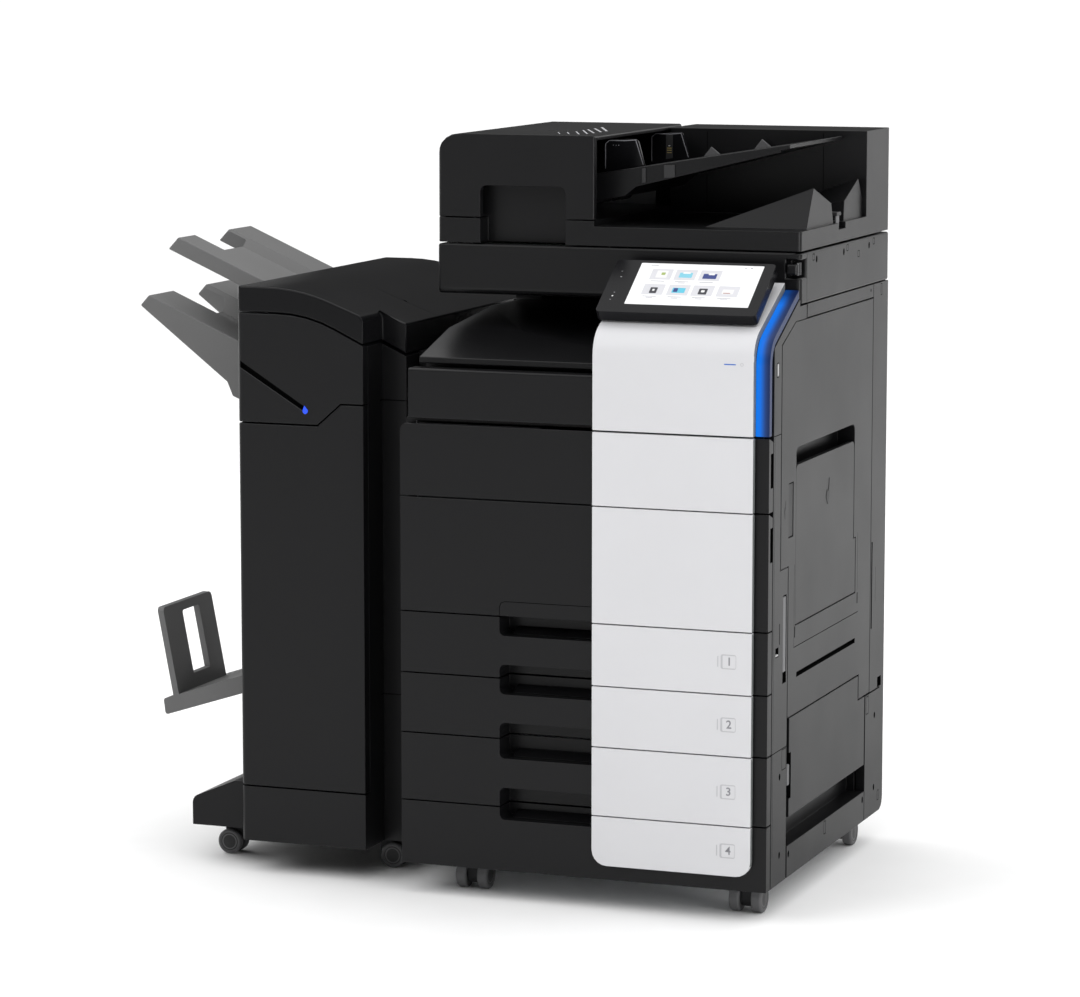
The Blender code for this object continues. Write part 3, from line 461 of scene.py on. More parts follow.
def finish_nodes():
    finishes = {node: made for made, names in NODE_FINISH.values() for node in names}
    for node, thing in nodes.items():
        thing.data.materials.clear()
        thing.data.materials.append(finishes.get(node, CHARCOAL))
        # Slot 1 holds the painted recess shade, which the cut faces from carve() take.
        thing.data.materials.append(RECESS_SHADE)
        own_normals = thing.data.attributes.get("custom_normal")
        if own_normals:
            thing.data.attributes.remove(own_normals)
        for face in thing.data.polygons:
            face.material_index = 0
        weld = thing.modifiers.new("weld", "WELD")
        weld.merge_threshold = WELD
        flat = thing.modifiers.new("flat", "DECIMATE")
        flat.decimate_type = "DISSOLVE"
        flat.angle_limit = DISSOLVE
        flat.delimit = {"MATERIAL"}
        smooth(thing, SOFT_EDGE.get(node, PLAIN_EDGE), 3)
    # Paints shade onto the white facings: their right-hand side faces get the grey painted shade.
    for node in NODE_FINISH["white"][1]:
        paint_faces(node, FACING_SIDE_SHADE, lambda middle, normal: normal.x > SIDEWAYS)
    # The dark parts' right-hand side faces take the charcoal copy with the painted sheen.
    for node in nodes:
        if node not in finishes:
            paint_faces(node, CHARCOAL_SIDE_PAINTED_SHEEN,
                        lambda middle, normal: normal.x > SIDEWAYS and middle.x > RIGHT_SIDE_FROM)
    for node in ("engine_frame", "cabinet_frame"):
        paint_faces(node, STEEL, lambda middle, normal: not on_outside(middle))


# ---------------- right-hand side
def side_cut(outline, depth):
    return prism(outline, "x", SIDE - depth, SIDE + 0.01)


def side_rect(y0, y1, z0, z1, depth=0.006):
    return side_cut([(y0, z0), (y1, z0), (y1, z1), (y0, z1)], depth)


def side_ring(y0, y1, z0, z1, width=0.0012):
    outer = rounded(y0, y1, z0, z1, 0.0015, 2)
    inner = rounded(y0 + width, y1 - width, z0 + width, z1 - width, 0.0008, 2)
    return prism(outer, "x", SIDE - 0.0012, SIDE + 0.01, inner)


def side_oval(y, z, half_y=0.0042, half_z=0.0056):
    return side_cut(oval(y, z, half_y, half_z), 0.005)


def cut_right_side():
    line = 0.001
    carve("toner_door", [box(0.604, 0.62, 0.009, 0.0216, 0.6865, 0.7405)])
    filled_grip = [(0.1693, 0.46), (0.1693, 0.4776), (0.172, 0.484), (0.1783, 0.4866), (0.329, 0.4866)]
    carve("front_door", [
        box(0.604, 0.62, 0.009, 0.0216, 0.5705, 0.6244),
        prism(stroke(filled_grip, line), "y", -0.01, 0.0012),
    ])
    carve("status_light_strip", [side_cut(oval(0.0155, 0.87, 0.0017, 0.006), 0.003)])
    carve("right_front_pillar", [
        side_oval(0.0687, 0.0959), side_oval(0.0678, 0.2219), side_ring(0.078, 0.101, 0.23, 0.2637),
        side_ring(0.036, 0.047, 0.856, 0.879), side_rect(0.06, 0.063, 0.434, 0.467),
        side_rect(0.04, 0.056, 0.416, 0.431), side_rect(0.078, 0.097, 0.369, 0.509, 0.004),
        side_rect(0.02, 0.11, 0.2645, 0.2658, 0.0015), side_rect(0.02, 0.062, 0.7652, 0.7665, 0.0015),
        side_rect(0.03, 0.0308, 0.1, 0.764, 0.0012),
    ], crossing=True)
    carve("right_upper_door", [
        side_rect(0.104, 0.13, 0.596, 0.683, 0.0012), side_rect(0.137, 0.502, 0.4165, 0.4177, 0.0015),
        side_rect(0.153, 0.487, 0.367, 0.375, 0.009), side_rect(0.1405, 0.1445, 0.432, 0.45),
        side_rect(0.496, 0.5, 0.432, 0.45), side_rect(0.1375, 0.1383, 0.418, 0.55, 0.0015),
        side_rect(0.4975, 0.4983, 0.454, 0.55, 0.0015),
    ])
    carve("right_lower_door", [side_rect(0.11, 0.128, 0.177, 0.251, 0.012)])
    carve("cabinet_frame", [
        side_oval(0.1184, 0.0876), side_oval(0.5431, 0.0887), side_ring(0.315, 0.327, 0.077, 0.099),
    ])
    carve("engine_frame", [side_oval(0.562, 0.948, 0.0022, 0.003)])
    scanner = [side_oval(y, 1.0241) for y in (0.2456, 0.3993, 0.548)]
    for y, z in ((0.2284, 1.0284), (0.42, 1.0293), (0.5756, 1.0291), (0.4857, 1.0147)):
        scanner.append(side_ring(y - 0.0055, y + 0.0055, z - 0.0055, z + 0.0055))
    scanner.append(side_rect(0.193, 0.194, 0.95, 1.05, 0.0015))
    carve("scanner_housing", scanner)
    rear = [
        side_oval(0.6123, 0.0968), side_oval(0.6121, 0.2217), side_ring(0.56, 0.576, 0.231, 0.262),
        side_ring(0.634, 0.643, 0.069, 0.087), side_rect(0.583, 0.589, 0.374, 0.522, 0.01),
        side_rect(0.6081, 0.609, 0.417, 0.477, 0.0015), side_rect(0.627, 0.65, 0.267, 0.284, 0.01),
        side_ring(0.6215, 0.63, 0.935, 0.955),
    ]
    return rear


def dress_right_side():
    """Labels and small parts on the right-hand side."""
    strip = box(SIDE - 0.0036, SIDE - 0.0006, 0.0815, 0.096, 0.3865, 0.506)
    add("pillar_strip", strip, "machine", GREY)
    latch = box(SIDE - 0.005, SIDE - 0.001, 0.0575, 0.0595, 0.418, 0.463)
    add("pillar_latch", latch, "machine", CHARCOAL)
    add("pillar_latch_foot", box(SIDE - 0.004, SIDE, 0.041, 0.055, 0.4175, 0.42), "machine", PALE)
    tab = prism(rounded(0.0395, 0.0455, 0.858, 0.877, 0.002), "x", SIDE - 0.001, SIDE + 0.0004)
    add("pillar_tab", tab, "machine", PALE, 0.0002)
    label = box(SIDE - 0.001, SIDE - 0.0007, 0.1055, 0.1285, 0.598, 0.681)
    add("right_label", label, "right_upper_door", PRINT_DIM, 0.0)
    latch = prism(rounded(0.115, 0.1265, 0.198, 0.232, 0.003), "x", SIDE - 0.01, SIDE - 0.002)
    add("lower_door_latch", latch, "right_lower_door", GREY, 0.001)
    icons = (("paper_size_mark", 0.085, 0.63, 0.6575, 0.0035, "right_upper_door"),
             ("bypass_mark", 0.32, 0.622, 0.664, 0.009, "bypass_tray"))
    for name, y, low, high, half, body in icons:
        middle = (low + high) / 2
        outer = [(y - half, low + 0.012), (y, low), (y + half, low + 0.012), (y + half, high),
                 (y + half * 0.4, middle), (y - half * 0.4, middle + 0.004)]
        add(name, prism(outer, "x", SIDE - 0.0003, SIDE + INK), body, PRINT_DIM, 0.0)
    clip = prism(rounded(0.15, 0.182, 1.006, 1.022, 0.003), "x", SIDE - 0.02, SIDE - 0.006)
    add("scanner_clip", clip, "machine", CHARCOAL, 0.001)
    for n, y in enumerate((0.16, 0.172)):
        rib = box(SIDE - 0.007, SIDE - 0.004, y, y + 0.002, 1.004, 1.024)
        add(f"scanner_clip_rib_{n}", rib, "machine", RIM, 0.0003)


# ---------------- front
def paper_label(number, height, body):
    """The stack-of-paper outline and the tray's number, printed on a white facing."""
    front, back = FACING_FRONT - INK, FACING_FRONT + 0.0005
    sheet = rounded(0.5415, 0.5665, height - 0.0115, height + 0.0115, 0.003, 3)
    inner = rounded(0.5445, 0.566, height - 0.01, height + 0.01, 0.0018, 3)
    frame_mark = prism(sheet, "y", front, back, inner)
    add(f"tray_mark_sheet_{number}", frame_mark, body, PRINT_PALE, 0)
    stack = box(0.536, 0.5375, front, back, height - 0.0085, height + 0.0085)
    add(f"tray_mark_stack_{number}", stack, body, PRINT_PALE, 0)
    text = bpy.data.curves.new(f"tray_number_{number}", "FONT")
    text.body = str(number)
    text.size = 0.0182
    text.extrude = INK
    text.offset = INK  # thickens the strokes
    text.align_x = "CENTER"
    text.align_y = "CENTER"
    text.materials.append(PRINT_GREY)
    piece = place_object(f"tray_number_{number}", text, ORIGIN + Vector((0.5553, FACING_FRONT, height)))
    piece.rotation_euler = (math.pi / 2, 0.0, 0.0)
    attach(piece, body)


def dress_front():
    for (number, low, high, below), height in zip(DRAWERS, (0.415, 0.3155, 0.209, 0.115)):
        body = f"drawer_{number}"
        paper_label(number, height, body)
        foot = high - below + 0.0002
        outline = [(0.022, foot), (0.0446, foot), (0.0446, foot + 0.0098), (0.036, foot + 0.0088)]
        ledge = prism(outline, "x", 0.184, 0.3275)
        add(f"grip_ledge_{number}", ledge, body, CHARCOAL, 0.0006)
        dress_tray(number, low + 0.01, high - 0.014, body)
    front = FACING_FRONT - INK
    mark = prism(rounded(0.5437, 0.5631, 0.8783, 0.88, 0.0008, 2), "y", front, FACING_FRONT + 0.001)
    add("status_mark", mark, "machine", MARK_BLUE, 0)
    ring = prism(oval(0.5727, 0.8795, 0.0026, 0.0026), "y", front, FACING_FRONT + 0.001,
                 oval(0.5727, 0.8795, 0.0019, 0.0019))
    add("status_ring", ring, "machine", PRINT_PALE, 0)


def dress_tray(number, low, high, body):
    """Lift plate, side guides and end stop in a paper tray."""
    plate = prism(rounded(0.04, 0.42, 0.062, 0.5, 0.012), "z", low + 0.006, low + 0.0072)
    add(f"lift_plate_{number}", plate, body, STEEL, 0.0002)
    for side, y0, y1 in (("front", 0.075, 0.08), ("rear", 0.47, 0.475)):
        guide = prism(rounded(0.12, 0.3, low + 0.0075, high - 0.004, 0.008), "y", y0, y1)
        add(f"tray_guide_{side}_{number}", guide, body, PALE, 0.0008)
    stop = prism(rounded(0.18, 0.36, low + 0.0075, high - 0.01, 0.006), "x", 0.44, 0.446)
    add(f"tray_stop_{number}", stop, body, PALE, 0.0008)
    lever = prism(rounded(0.25, 0.29, high - 0.0095, high - 0.0035, 0.002), "x", 0.436, 0.452)
    add(f"tray_stop_lever_{number}", lever, body, GREEN, 0.0006)


# ---------------- operation panel
PANEL_PLACE = Matrix.Translation(PANEL_MIDDLE) @ Matrix.Rotation(PANEL_TILT, 4, "X")
PANEL_BODY = "operation_panel"


def panel_part(name, outline, low, high, finish):
    return add(name, prism(outline, "z", low, high), PANEL_BODY, finish, 0.0, PANEL_PLACE)


def dress_panel():
    wide, high = PANEL_SIZE
    left, right, front, back = SCREEN_MARGINS
    x0, x1, y0, y1 = -wide / 2 + left, wide / 2 - right, -high / 2 + front, high / 2 - back
    screen = panel_part("screen_face", rounded(x0 + 0.0003, x1 - 0.0003, y0 + 0.0003, y1 - 0.0003, 0.001, 2),
                        -0.0012, -0.0002, SCREEN_WHITE)
    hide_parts("touch_screen")

    def spot(u, v):
        return x0 + u * (x1 - x0), y1 - v * (y1 - y0)

    def patch(name, u, v, du, dv, finish, level=1, radius=0.0):
        (a, d), (b, c) = spot(u, v), spot(u + du, v + dv)
        outline = rounded(a, b, c, d, radius, 3) if radius else [(a, c), (b, c), (b, d), (a, d)]
        panel_part(name, outline, -0.0003, -0.0002 + 0.0001 * level, finish)

    tile = glow(surface("tile_grey", (0.55, 0.55, 0.58), 0.3, 0.3, grain=0.0), (0.9, 0.9, 0.95), 0.1)
    tones = {
        "leaf": (0.32, 0.42, 0.12), "sky": (0.2, 0.55, 0.68), "cyan": (0.1, 0.5, 0.66),
        "navy": (0.02, 0.04, 0.2), "ink": (0.03, 0.03, 0.04), "rose": (0.45, 0.22, 0.2),
        "paper": (0.78, 0.78, 0.78), "dash": (0.42, 0.42, 0.46),
    }
    tones = {name: surface("screen_" + name, colour, 0.3, 0.3, grain=0.0) for name, colour in tones.items()}
    tile_wide, tile_high = 0.172, 0.255
    rows = ((0.138, (0.113, 0.311, 0.51)), (0.505, (0.1, 0.304, 0.5, 0.705)))
    for row, (v, starts) in enumerate(rows):
        for n, u in enumerate(starts):
            patch(f"tile_{row}_{n}", u, v, tile_wide, tile_high, tile, 1, 0.0015)
            foot = v + tile_high
            patch(f"tile_caption_{row}_{n}", u + 0.02, foot + 0.03, 0.11, 0.016, tones["dash"])
            if row or n == 1:
                patch(f"tile_caption_low_{row}_{n}", u + 0.05, foot + 0.062, 0.055, 0.014, tones["dash"])
    page, square = (0.09, 0.17), (0.105, 0.12)  # width and height, as parts of the screen
    glyphs = {  # row and tile: part, u, v, size, tone
        (0, 0): (("page", 0.045, 0.04, page, "paper"), ("leaf", 0.085, 0.085, (0.032, 0.06), "leaf")),
        (0, 1): (("band", 0.035, 0.075, square, "sky"), ("wave", 0.06, 0.06, (0.06, 0.04), "paper")),
        (0, 2): (("blob", 0.03, 0.085, (0.11, 0.12), "navy"),
                 ("notch", 0.07, 0.07, (0.05, 0.045), "paper")),
        (1, 0): (("copier", 0.06, 0.08, (0.058, 0.14), "ink"),
                 ("lamp", 0.08, 0.12, (0.018, 0.045), "paper")),
        (1, 1): (("card", 0.035, 0.075, square, "cyan"), ("figure", 0.045, 0.085, (0.035, 0.09), "navy")),
        (1, 2): (("box", 0.055, 0.075, (0.068, 0.14), "ink"),
                 ("arrow", 0.075, 0.115, (0.028, 0.05), "paper")),
        (1, 3): (("tray", 0.04, 0.08, (0.09, 0.11), "paper"),
                 ("line", 0.05, 0.16, (0.06, 0.018), "rose")),
    }
    for (row, n), parts in glyphs.items():
        row_v, starts = rows[row]
        for level, (part, u, v, size, tone) in enumerate(parts, 2):
            patch(f"glyph_{part}_{row}_{n}", starts[n] + u, row_v + v, *size, tones[tone], level, 0.0012)
    dashes = (("head_left", 0.085, 0.042, 0.06, 0.018), ("head_right", 0.845, 0.05, 0.022, 0.018),
              ("head_dot", 0.895, 0.045, 0.018, 0.03), ("foot_dot", 0.448, 0.955, 0.01, 0.016))
    for name, u, v, du, dv in dashes:
        patch(name, u, v, du, dv, tones["dash"])
    marks = ((-0.1155, 0.036, 0.002, 0.0008), (-0.113, 0.022, 0.0028, 0.0012),
             (-0.113, -0.017, 0.0022, 0.001), (-0.1135, -0.026, 0.003, 0.0026),
             (-0.1145, -0.035, 0.002, 0.001))  # middle u and v, width, height
    for n, (u, v, du, dv) in enumerate(marks):
        finish = PRINT_WHITE if n == 3 else PRINT_PALE
        panel_part(f"bezel_mark_{n}", oval(u, v, du / 2, dv / 2, 16), -0.0002, INK, finish)
    lip = prism(rounded(-0.1, 0.06, -0.058, 0.05, 0.006), "z", -0.0215, -0.0175)
    add("panel_underside", lip, PANEL_BODY, CHARCOAL, 0.001, place=PANEL_PLACE)


# ---------------- document feeder
def dress_feeder():
    lid = "document_feeder"
    carve("document_feeder", [
        box(0.3365, 0.3375, 0.525, 0.5335, 1.084, 1.208), box(0.5385, 0.5395, 0.525, 0.5335, 1.074, 1.208),
    ])
    pad = prism(rounded(0.03, 0.586, 0.225, 0.64, 0.004), "z", 1.0425, 1.0475)
    add("pressing_pad", pad, lid, WHITE, 0.001)
    add("pad_strip", box(0.018, 0.026, 0.225, 0.64, 1.0425, 1.0455), lid, PALE)
    shelf = 1.0815
    add("feed_roller_shaft", rod((0.205, 0.39, 1.108), "y", 0.004, 0.34), lid, CHROME, 0)
    for n, y in enumerate((0.33, 0.39, 0.45)):
        add(f"feed_roller_{n}", rod((0.205, y, 1.108), "y", 0.0125, 0.03, 32, 0.001), lid, RUBBER, 0)
    add("pickup_roller", rod((0.24, 0.39, 1.112), "y", 0.0105, 0.03, 32, 0.001), lid, RUBBER, 0)
    seal = box(0.004, 0.0136, 0.164, 0.596, 1.0806, 1.0827)
    add("cover_seal", seal, lid, TONER, 0)
    arm = prism(rounded(0.195, 0.25, 1.116, 1.128, 0.004), "y", 0.368, 0.412)
    add("pickup_arm", arm, lid, GREY, 0.001)
    for n, x in enumerate((0.045, 0.095, 0.15)):
        add(f"turn_shaft_{n}", rod((x, 0.39, shelf + 0.012), "y", 0.004, 0.36), lid, CHROME, 0)
        for m, y in enumerate((0.27, 0.35, 0.43, 0.51)):
            roller = rod((x, y, shelf + 0.012), "y", 0.0095, 0.026, 32, 0.001)
            add(f"turn_roller_{n}_{m}", roller, lid, RUBBER, 0)
    for n, y in enumerate((0.215, 0.565)):
        plate = prism([(0.03, shelf), (0.235, shelf), (0.235, 1.122), (0.205, 1.13), (0.06, 1.112),
                       (0.03, 1.098)], "y", y, y + 0.003)
        add(f"feeder_side_plate_{n}", plate, lid, STEEL, 0.0004)
    clip = prism([(0.384, 1.0635), (0.398, 1.0635), (0.4, 1.086), (0.382, 1.086)], "x", 0.603, 0.606)
    add("edge_clip", clip, lid, GREY, 0.0006)
    clip = prism(rounded(0.379, 0.403, 1.083, 1.089, 0.002), "x", 0.594, 0.608)
    add("edge_clip_top", clip, lid, HUB, 0.0006)

    top = COVER_TOP
    ticks = ((0.197, 0.2, 0.176, 0.25), (0.213, 0.2, 0.19, 0.255), (0.23, 0.2, 0.196, 0.28),
             (0.238, 0.217, 0.192, 0.324), (0.24, 0.243, 0.191, 0.35), (0.239, 0.279, 0.19, 0.386),
             (0.238, 0.31, 0.188, 0.426))  # near x, near y, far x, far y of each stroke
    for n, (near_x, near_y, far_x, far_y) in enumerate(ticks):
        line = stroke([(near_x, near_y), (far_x, far_y)], 0.0014 + 0.0004 * n)
        tick = prism(line, "z", top - 0.0002, top + INK)
        add(f"feeder_tick_{n}", tick, "feed_cover", PRINT_PALE, 0)
    for n, x in enumerate((0.11, 0.14, 0.17)):
        tick = prism(rounded(x, x + 0.01, 0.3, 0.302, 0.0006, 2), "z", top - 0.0002, top + INK)
        add(f"feeder_faint_tick_{n}", tick, "feed_cover", PRINT_DIM, 0)

    guide_rim = [(0.251, 1.158), (0.251, 1.1985), (0.2575, 1.204), (0.284, 1.204), (0.3025, 1.2055),
                 (0.3155, 1.166)]
    guides = {"front": 0.268, "rear": 0.498}
    for side, y in guides.items():
        body = f"paper_guide_{side}"
        rim = prism(stroke(guide_rim, 0.0012), "y", y - 0.0004, y + 0.0052)
        add(f"guide_rim_{side}", rim, body, PRINT_GREY, 0)
    face = guides["front"]
    for n in range(3):
        dot = prism(oval(0.2645 + 0.0045 * n, 1.1965, 0.0007, 0.0007, 12), "y", face - INK, face + 0.0005)
        add(f"guide_dot_{n}", dot, "paper_guide_front", PRINT_GREY, 0)
    face = guides["rear"]
    outline = [(0.276, 1.162), (0.288, 1.164), (0.288, 1.203), (0.276, 1.203)]
    band = prism(outline, "y", face - INK, face + 0.0005)
    add("guide_band", band, "paper_guide_rear", PRINT_DIM, 0)
    for n, z in enumerate((1.184, 1.18, 1.1765, 1.1725)):
        finish, half = (PRINT_GOLD, 0.004) if n else (PRINT_WHITE, 0.0015)
        line = box(0.282 - half, 0.282 + half, face - 2 * INK, face + 0.0005, z, z + 0.0011)
        add(f"guide_line_{n}", line, "paper_guide_rear", finish, 0)

    def tray_top(x):
        return 1.1536 + 0.161 * (x - 0.256)

    for n, x in enumerate((0.352, 0.44)):
        fin = prism([(x - 0.016, tray_top(x - 0.016) - 0.001), (x + 0.014, tray_top(x + 0.014) - 0.001),
                     (x - 0.002, tray_top(x) + 0.014)], "y", 0.514, 0.5185)
        add(f"tray_fin_{n}", fin, "input_tray", RIM, 0.0006)
    rail = prism([(0.318, 1.133), (0.56, tray_top(0.56) - 0.01), (0.56, tray_top(0.56) - 0.006),
                  (0.318, 1.1365)], "y", 0.2235, 0.2248)
    add("tray_rail", rail, "input_tray", CHARCOAL, 0.0003)
    for n, (x, wide, drop) in enumerate(((0.329, 0.006, 0.026), (0.366, 0.018, 0.023))):
        lug = prism([(x, tray_top(x) - drop), (x + wide, tray_top(x) - drop + 0.001),
                     (x + wide, tray_top(x) - 0.002), (x, tray_top(x) - 0.003)], "y", 0.2225, 0.2249)
        add(f"tray_lug_{n}", lug, "input_tray", HUB, 0.0004)


def dress_scanner():
    carriage = prism(rounded(0.09, 0.15, 0.985, 1.018, 0.004), "y", 0.215, 0.62)
    add("scan_carriage", carriage, "machine", TONER, 0.0008)
    lamp = rod((0.12, 0.4175, 1.021), "y", 0.0035, 0.38)
    add("scan_lamp", lamp, "machine", PRINT_WHITE, 0)
    for n, y in enumerate((0.207, 0.624)):
        add(f"scan_rail_{n}", box(0.045, 0.57, y, y + 0.004, 0.975, 0.985), "machine", STEEL)
    scale = prism(rounded(0.0306, 0.044, 0.196, 0.634, 0.001, 2), "z", 1.0384, 1.0388)
    add("platen_scale", scale, "machine", WHITE, 0)
    for n in range(21):
        y = 0.205 + 0.021 * n
        deep = 0.009 if n % 5 == 0 else 0.005
        tick = box(0.0436 - deep, 0.0436, y, y + 0.0007, 1.0386, 1.0388 + INK)
        add(f"platen_tick_{n}", tick, "machine", PRINT_DIM, 0)


# ---------------- finisher
def finisher_top(x):
    """Height of the finisher's top surface."""
    fall, start, end = 0.385, -0.25, -0.14
    angle = math.atan(fall)
    radius = (end - start) / math.sin(angle)
    if x <= start:
        return FIN_TOP
    if x >= end:
        return FIN_TOP - radius * (1 - math.cos(angle)) - fall * (x - end)
    return FIN_TOP - radius + math.sqrt(radius * radius - (x - start) ** 2)


def dress_finisher():
    carve("finisher_front_cover", [
        prism([(-0.2964, 0.849), (-0.18, 0.7765), (-0.185, 0.7715), (-0.2964, 0.8385)], "y",
              FIN_FRONT - 0.01, FIN_FRONT + 0.008),
    ])
    lower_rim = stroke([(-0.296, 0.8372), (-0.1865, 0.771)], 0.0008)
    add("slot_rim", prism(lower_rim, "y", FIN_FRONT - 0.0004, FIN_FRONT + 0.001), "machine", HUB, 0.0002)
    turns = [math.radians(a) for a in range(110, -125, -15)]
    drop = [(-0.183, 0.78)]
    drop += [(-0.1815 + 0.0046 * math.sin(t), 0.7714 - 0.005 * math.cos(t)) for t in turns]
    lamp = prism(drop, "y", FIN_FRONT - 0.0012, FIN_FRONT + 0.002)
    add("finisher_lamp", lamp, "machine", BLUE_LAMP, 0.0004)
    xs = [-0.15 + 0.01 * n for n in range(12)]
    seam = [(x, finisher_top(x) - 0.0016) for x in xs] + [(x, finisher_top(x) + 0.006) for x in reversed(xs)]
    dot = oval(-0.098, finisher_top(-0.098), 0.0035, 0.004, 16)
    carve("finisher_top_cover", [prism(seam, "y", 0.2595, 0.2605), prism(dot, "y", 0.2606, 0.265)])
    cuts = []
    for z in (0.785, 0.3):
        cuts.append(box(FIN_STEP - 0.001, FIN_RIGHT + 0.001, FIN_RECESS - 0.01, FIN_RECESS + 0.0015,
                        z - 0.0008, z + 0.0008))
    for column in range(2):
        for n in range(12):
            z = 0.56 + 0.014 * n
            x = -0.27 + 0.12 * column
            vent = rounded(x, x + 0.09, z, z + 0.005, 0.0024, 3)
            cuts.append(prism(vent, "y", FIN_BACK - 0.006, FIN_BACK + 0.01))
    carve("finisher_frame", cuts)
    socket = prism(rounded(-0.12, -0.08, 0.2, 0.235, 0.004), "y", FIN_BACK - 0.0005, FIN_BACK + 0.0015)
    add("finisher_socket", socket, "machine", GREY, 0.0005)
    places = ((-0.29, 0.17), (-0.05, 0.17), (-0.29, 0.83), (-0.05, 0.83), (-0.17, 0.5))
    for n, (x, z) in enumerate(places):
        screw = rod((x, FIN_BACK + 0.0006, z), "y", 0.0036, 0.0022, 24, 0.0006)
        add(f"finisher_screw_{n}", screw, "machine", STEEL, 0)
    inner_wall = 0.064
    inner = prism(rounded(-0.286, -0.094, 0.155, 0.735, 0.006), "y", inner_wall, inner_wall + 0.0025)
    add("finisher_inner_plate", inner, "machine", GREY, 0.0005)
    knobs = (("feed_knob", -0.235, 0.64, 0.018), ("jam_knob", -0.15, 0.56, 0.015),
             ("staple_knob", -0.19, 0.33, 0.02))
    for name, x, z, radius in knobs:
        profile = [(-0.0036, 0), (-0.0036, radius * 0.85), (-0.0022, radius), (-0.001, radius), (-0.001, 0)]
        knob = turned(profile, (x, inner_wall, z), "y")
        add(name, knob, "machine", GREEN, 0)
    staple = prism(rounded(-0.26, -0.12, 0.2, 0.285, 0.008), "y", inner_wall - 0.0022, inner_wall)
    add("staple_unit_front", staple, "machine", TONER, 0.0006)
    # Each inner slot is a thin near-black sheet of painted shade standing in for an opening.
    for n, z in enumerate((0.47, 0.505, 0.7)):
        slot = prism(rounded(-0.265, -0.115, z, z + 0.006, 0.0025, 3), "y", inner_wall - 0.0006, inner_wall)
        add(f"inner_slot_painted_shade_{n}", slot, "machine", RECESS_SHADE, 0)
    for n, x in enumerate((-0.25, -0.19, -0.13)):
        shaft = rod((x, 0.39, 0.8585 if n else 0.86), "y", 0.0035, 0.48)
        add(f"finisher_shaft_{n}", shaft, "machine", CHROME, 0)


def groove_in_tray(node, x0, x1, y_top, y_low, top_of, deep):
    """A lengthwise valley between the two ribs of an output tray."""
    shape = bmesh.new()
    rings = []
    for x in (x0, x1):
        z = top_of(x)
        points = [(y_top[0], z + 0.02), (y_top[0], z), (y_low[0], z - deep), (y_low[1], z - deep),
                  (y_top[1], z), (y_top[1], z + 0.02)]
        rings.append([shape.verts.new((x, *point)) for point in points])
    shape.faces.new(rings[0])
    shape.faces.new(rings[1])
    for n in range(len(rings[0])):
        m = (n + 1) % len(rings[0])
        shape.faces.new((rings[0][n], rings[0][m], rings[1][m], rings[1][n]))
    mesh = finish_mesh("valley", shape)
    mesh.materials.append(TRAY_GREY)
    subtract(node, "valley", mesh)


def dress_output_trays():
    root = FIN_LEFT
    fall = 0.436
    groove_in_tray("finisher_tray_upper", -0.56, root + 0.01, (0.262, 0.405), (0.28, 0.385),
                   lambda x: 0.955 + fall * (root - x), 0.014)
    groove_in_tray("finisher_tray_lower", -0.6, root + 0.01, (0.292, 0.43), (0.315, 0.41),
                   lambda x: 0.8325 + fall * (root - x), 0.03)


# ---------------- inside and back of the copier
def dress_inside():
    hole = oval(0.3, 0.708, 0.048, 0.048, 24)
    left, right, low, high = 0.022, 0.576, 0.656, 0.763
    square = []
    for n in range(24):
        turn = 2 * math.pi * n / 24
        reach = 1 / max(abs(math.cos(turn)), abs(math.sin(turn)))
        square.append((0.3 + 0.07 * reach * math.cos(turn), 0.708 + 0.052 * reach * math.sin(turn)))
    add("toner_port", prism(square, "y", 0.025, 0.029, hole), "machine", GREY, 0.0006)
    for n, (x0, x1) in enumerate(((left, 0.229), (0.371, right))):
        plate = prism(rounded(x0, x1, low, high, 0.004), "y", 0.025, 0.029)
        add(f"upper_inner_cover_{n}", plate, "machine", GREY, 0.0006)
    plate = prism(rounded(left, right, 0.474, 0.65, 0.004), "y", 0.025, 0.029)
    add("lower_inner_cover", plate, "machine", GREY, 0.0006)
    for n, (x, z) in enumerate(((0.12, 0.56), (0.24, 0.6), (0.48, 0.56))):
        lever = prism(rounded(x - 0.01, x + 0.01, z - 0.028, z + 0.028, 0.009), "y", 0.0228, 0.025)
        add(f"release_lever_{n}", lever, "machine", GREEN, 0.0008)
    drum = turned([(-0.0022, 0), (-0.0022, 0.03), (0.0, 0.034), (0.0, 0)], (0.36, 0.025, 0.57), "y")
    add("drum_boss", drum, "machine", TONER, 0)
    ridge = rod((0.3, 0.052, 0.708), "y", 0.028, 0.004, 32, 0.001)
    add("bottle_cap", ridge, "toner_bottle", GREY, 0)
    grip = box(0.296, 0.304, 0.047, 0.05, 0.685, 0.731)
    add("bottle_grip", grip, "toner_bottle", GREY, 0.001)
    for n, z in enumerate((0.505, 0.56, 0.65, 0.735)):
        shaft = rod((0.5752, 0.312, z), "y", 0.0022, 0.37)
        add(f"path_shaft_{n}", shaft, "machine", CHROME, 0)
        for m, y in enumerate((0.18, 0.27, 0.36, 0.45)):
            roller = rod((0.5752, y, z), "y", 0.0042, 0.024, 24, 0.0006)
            add(f"path_roller_{n}_{m}", roller, "machine", RUBBER, 0)


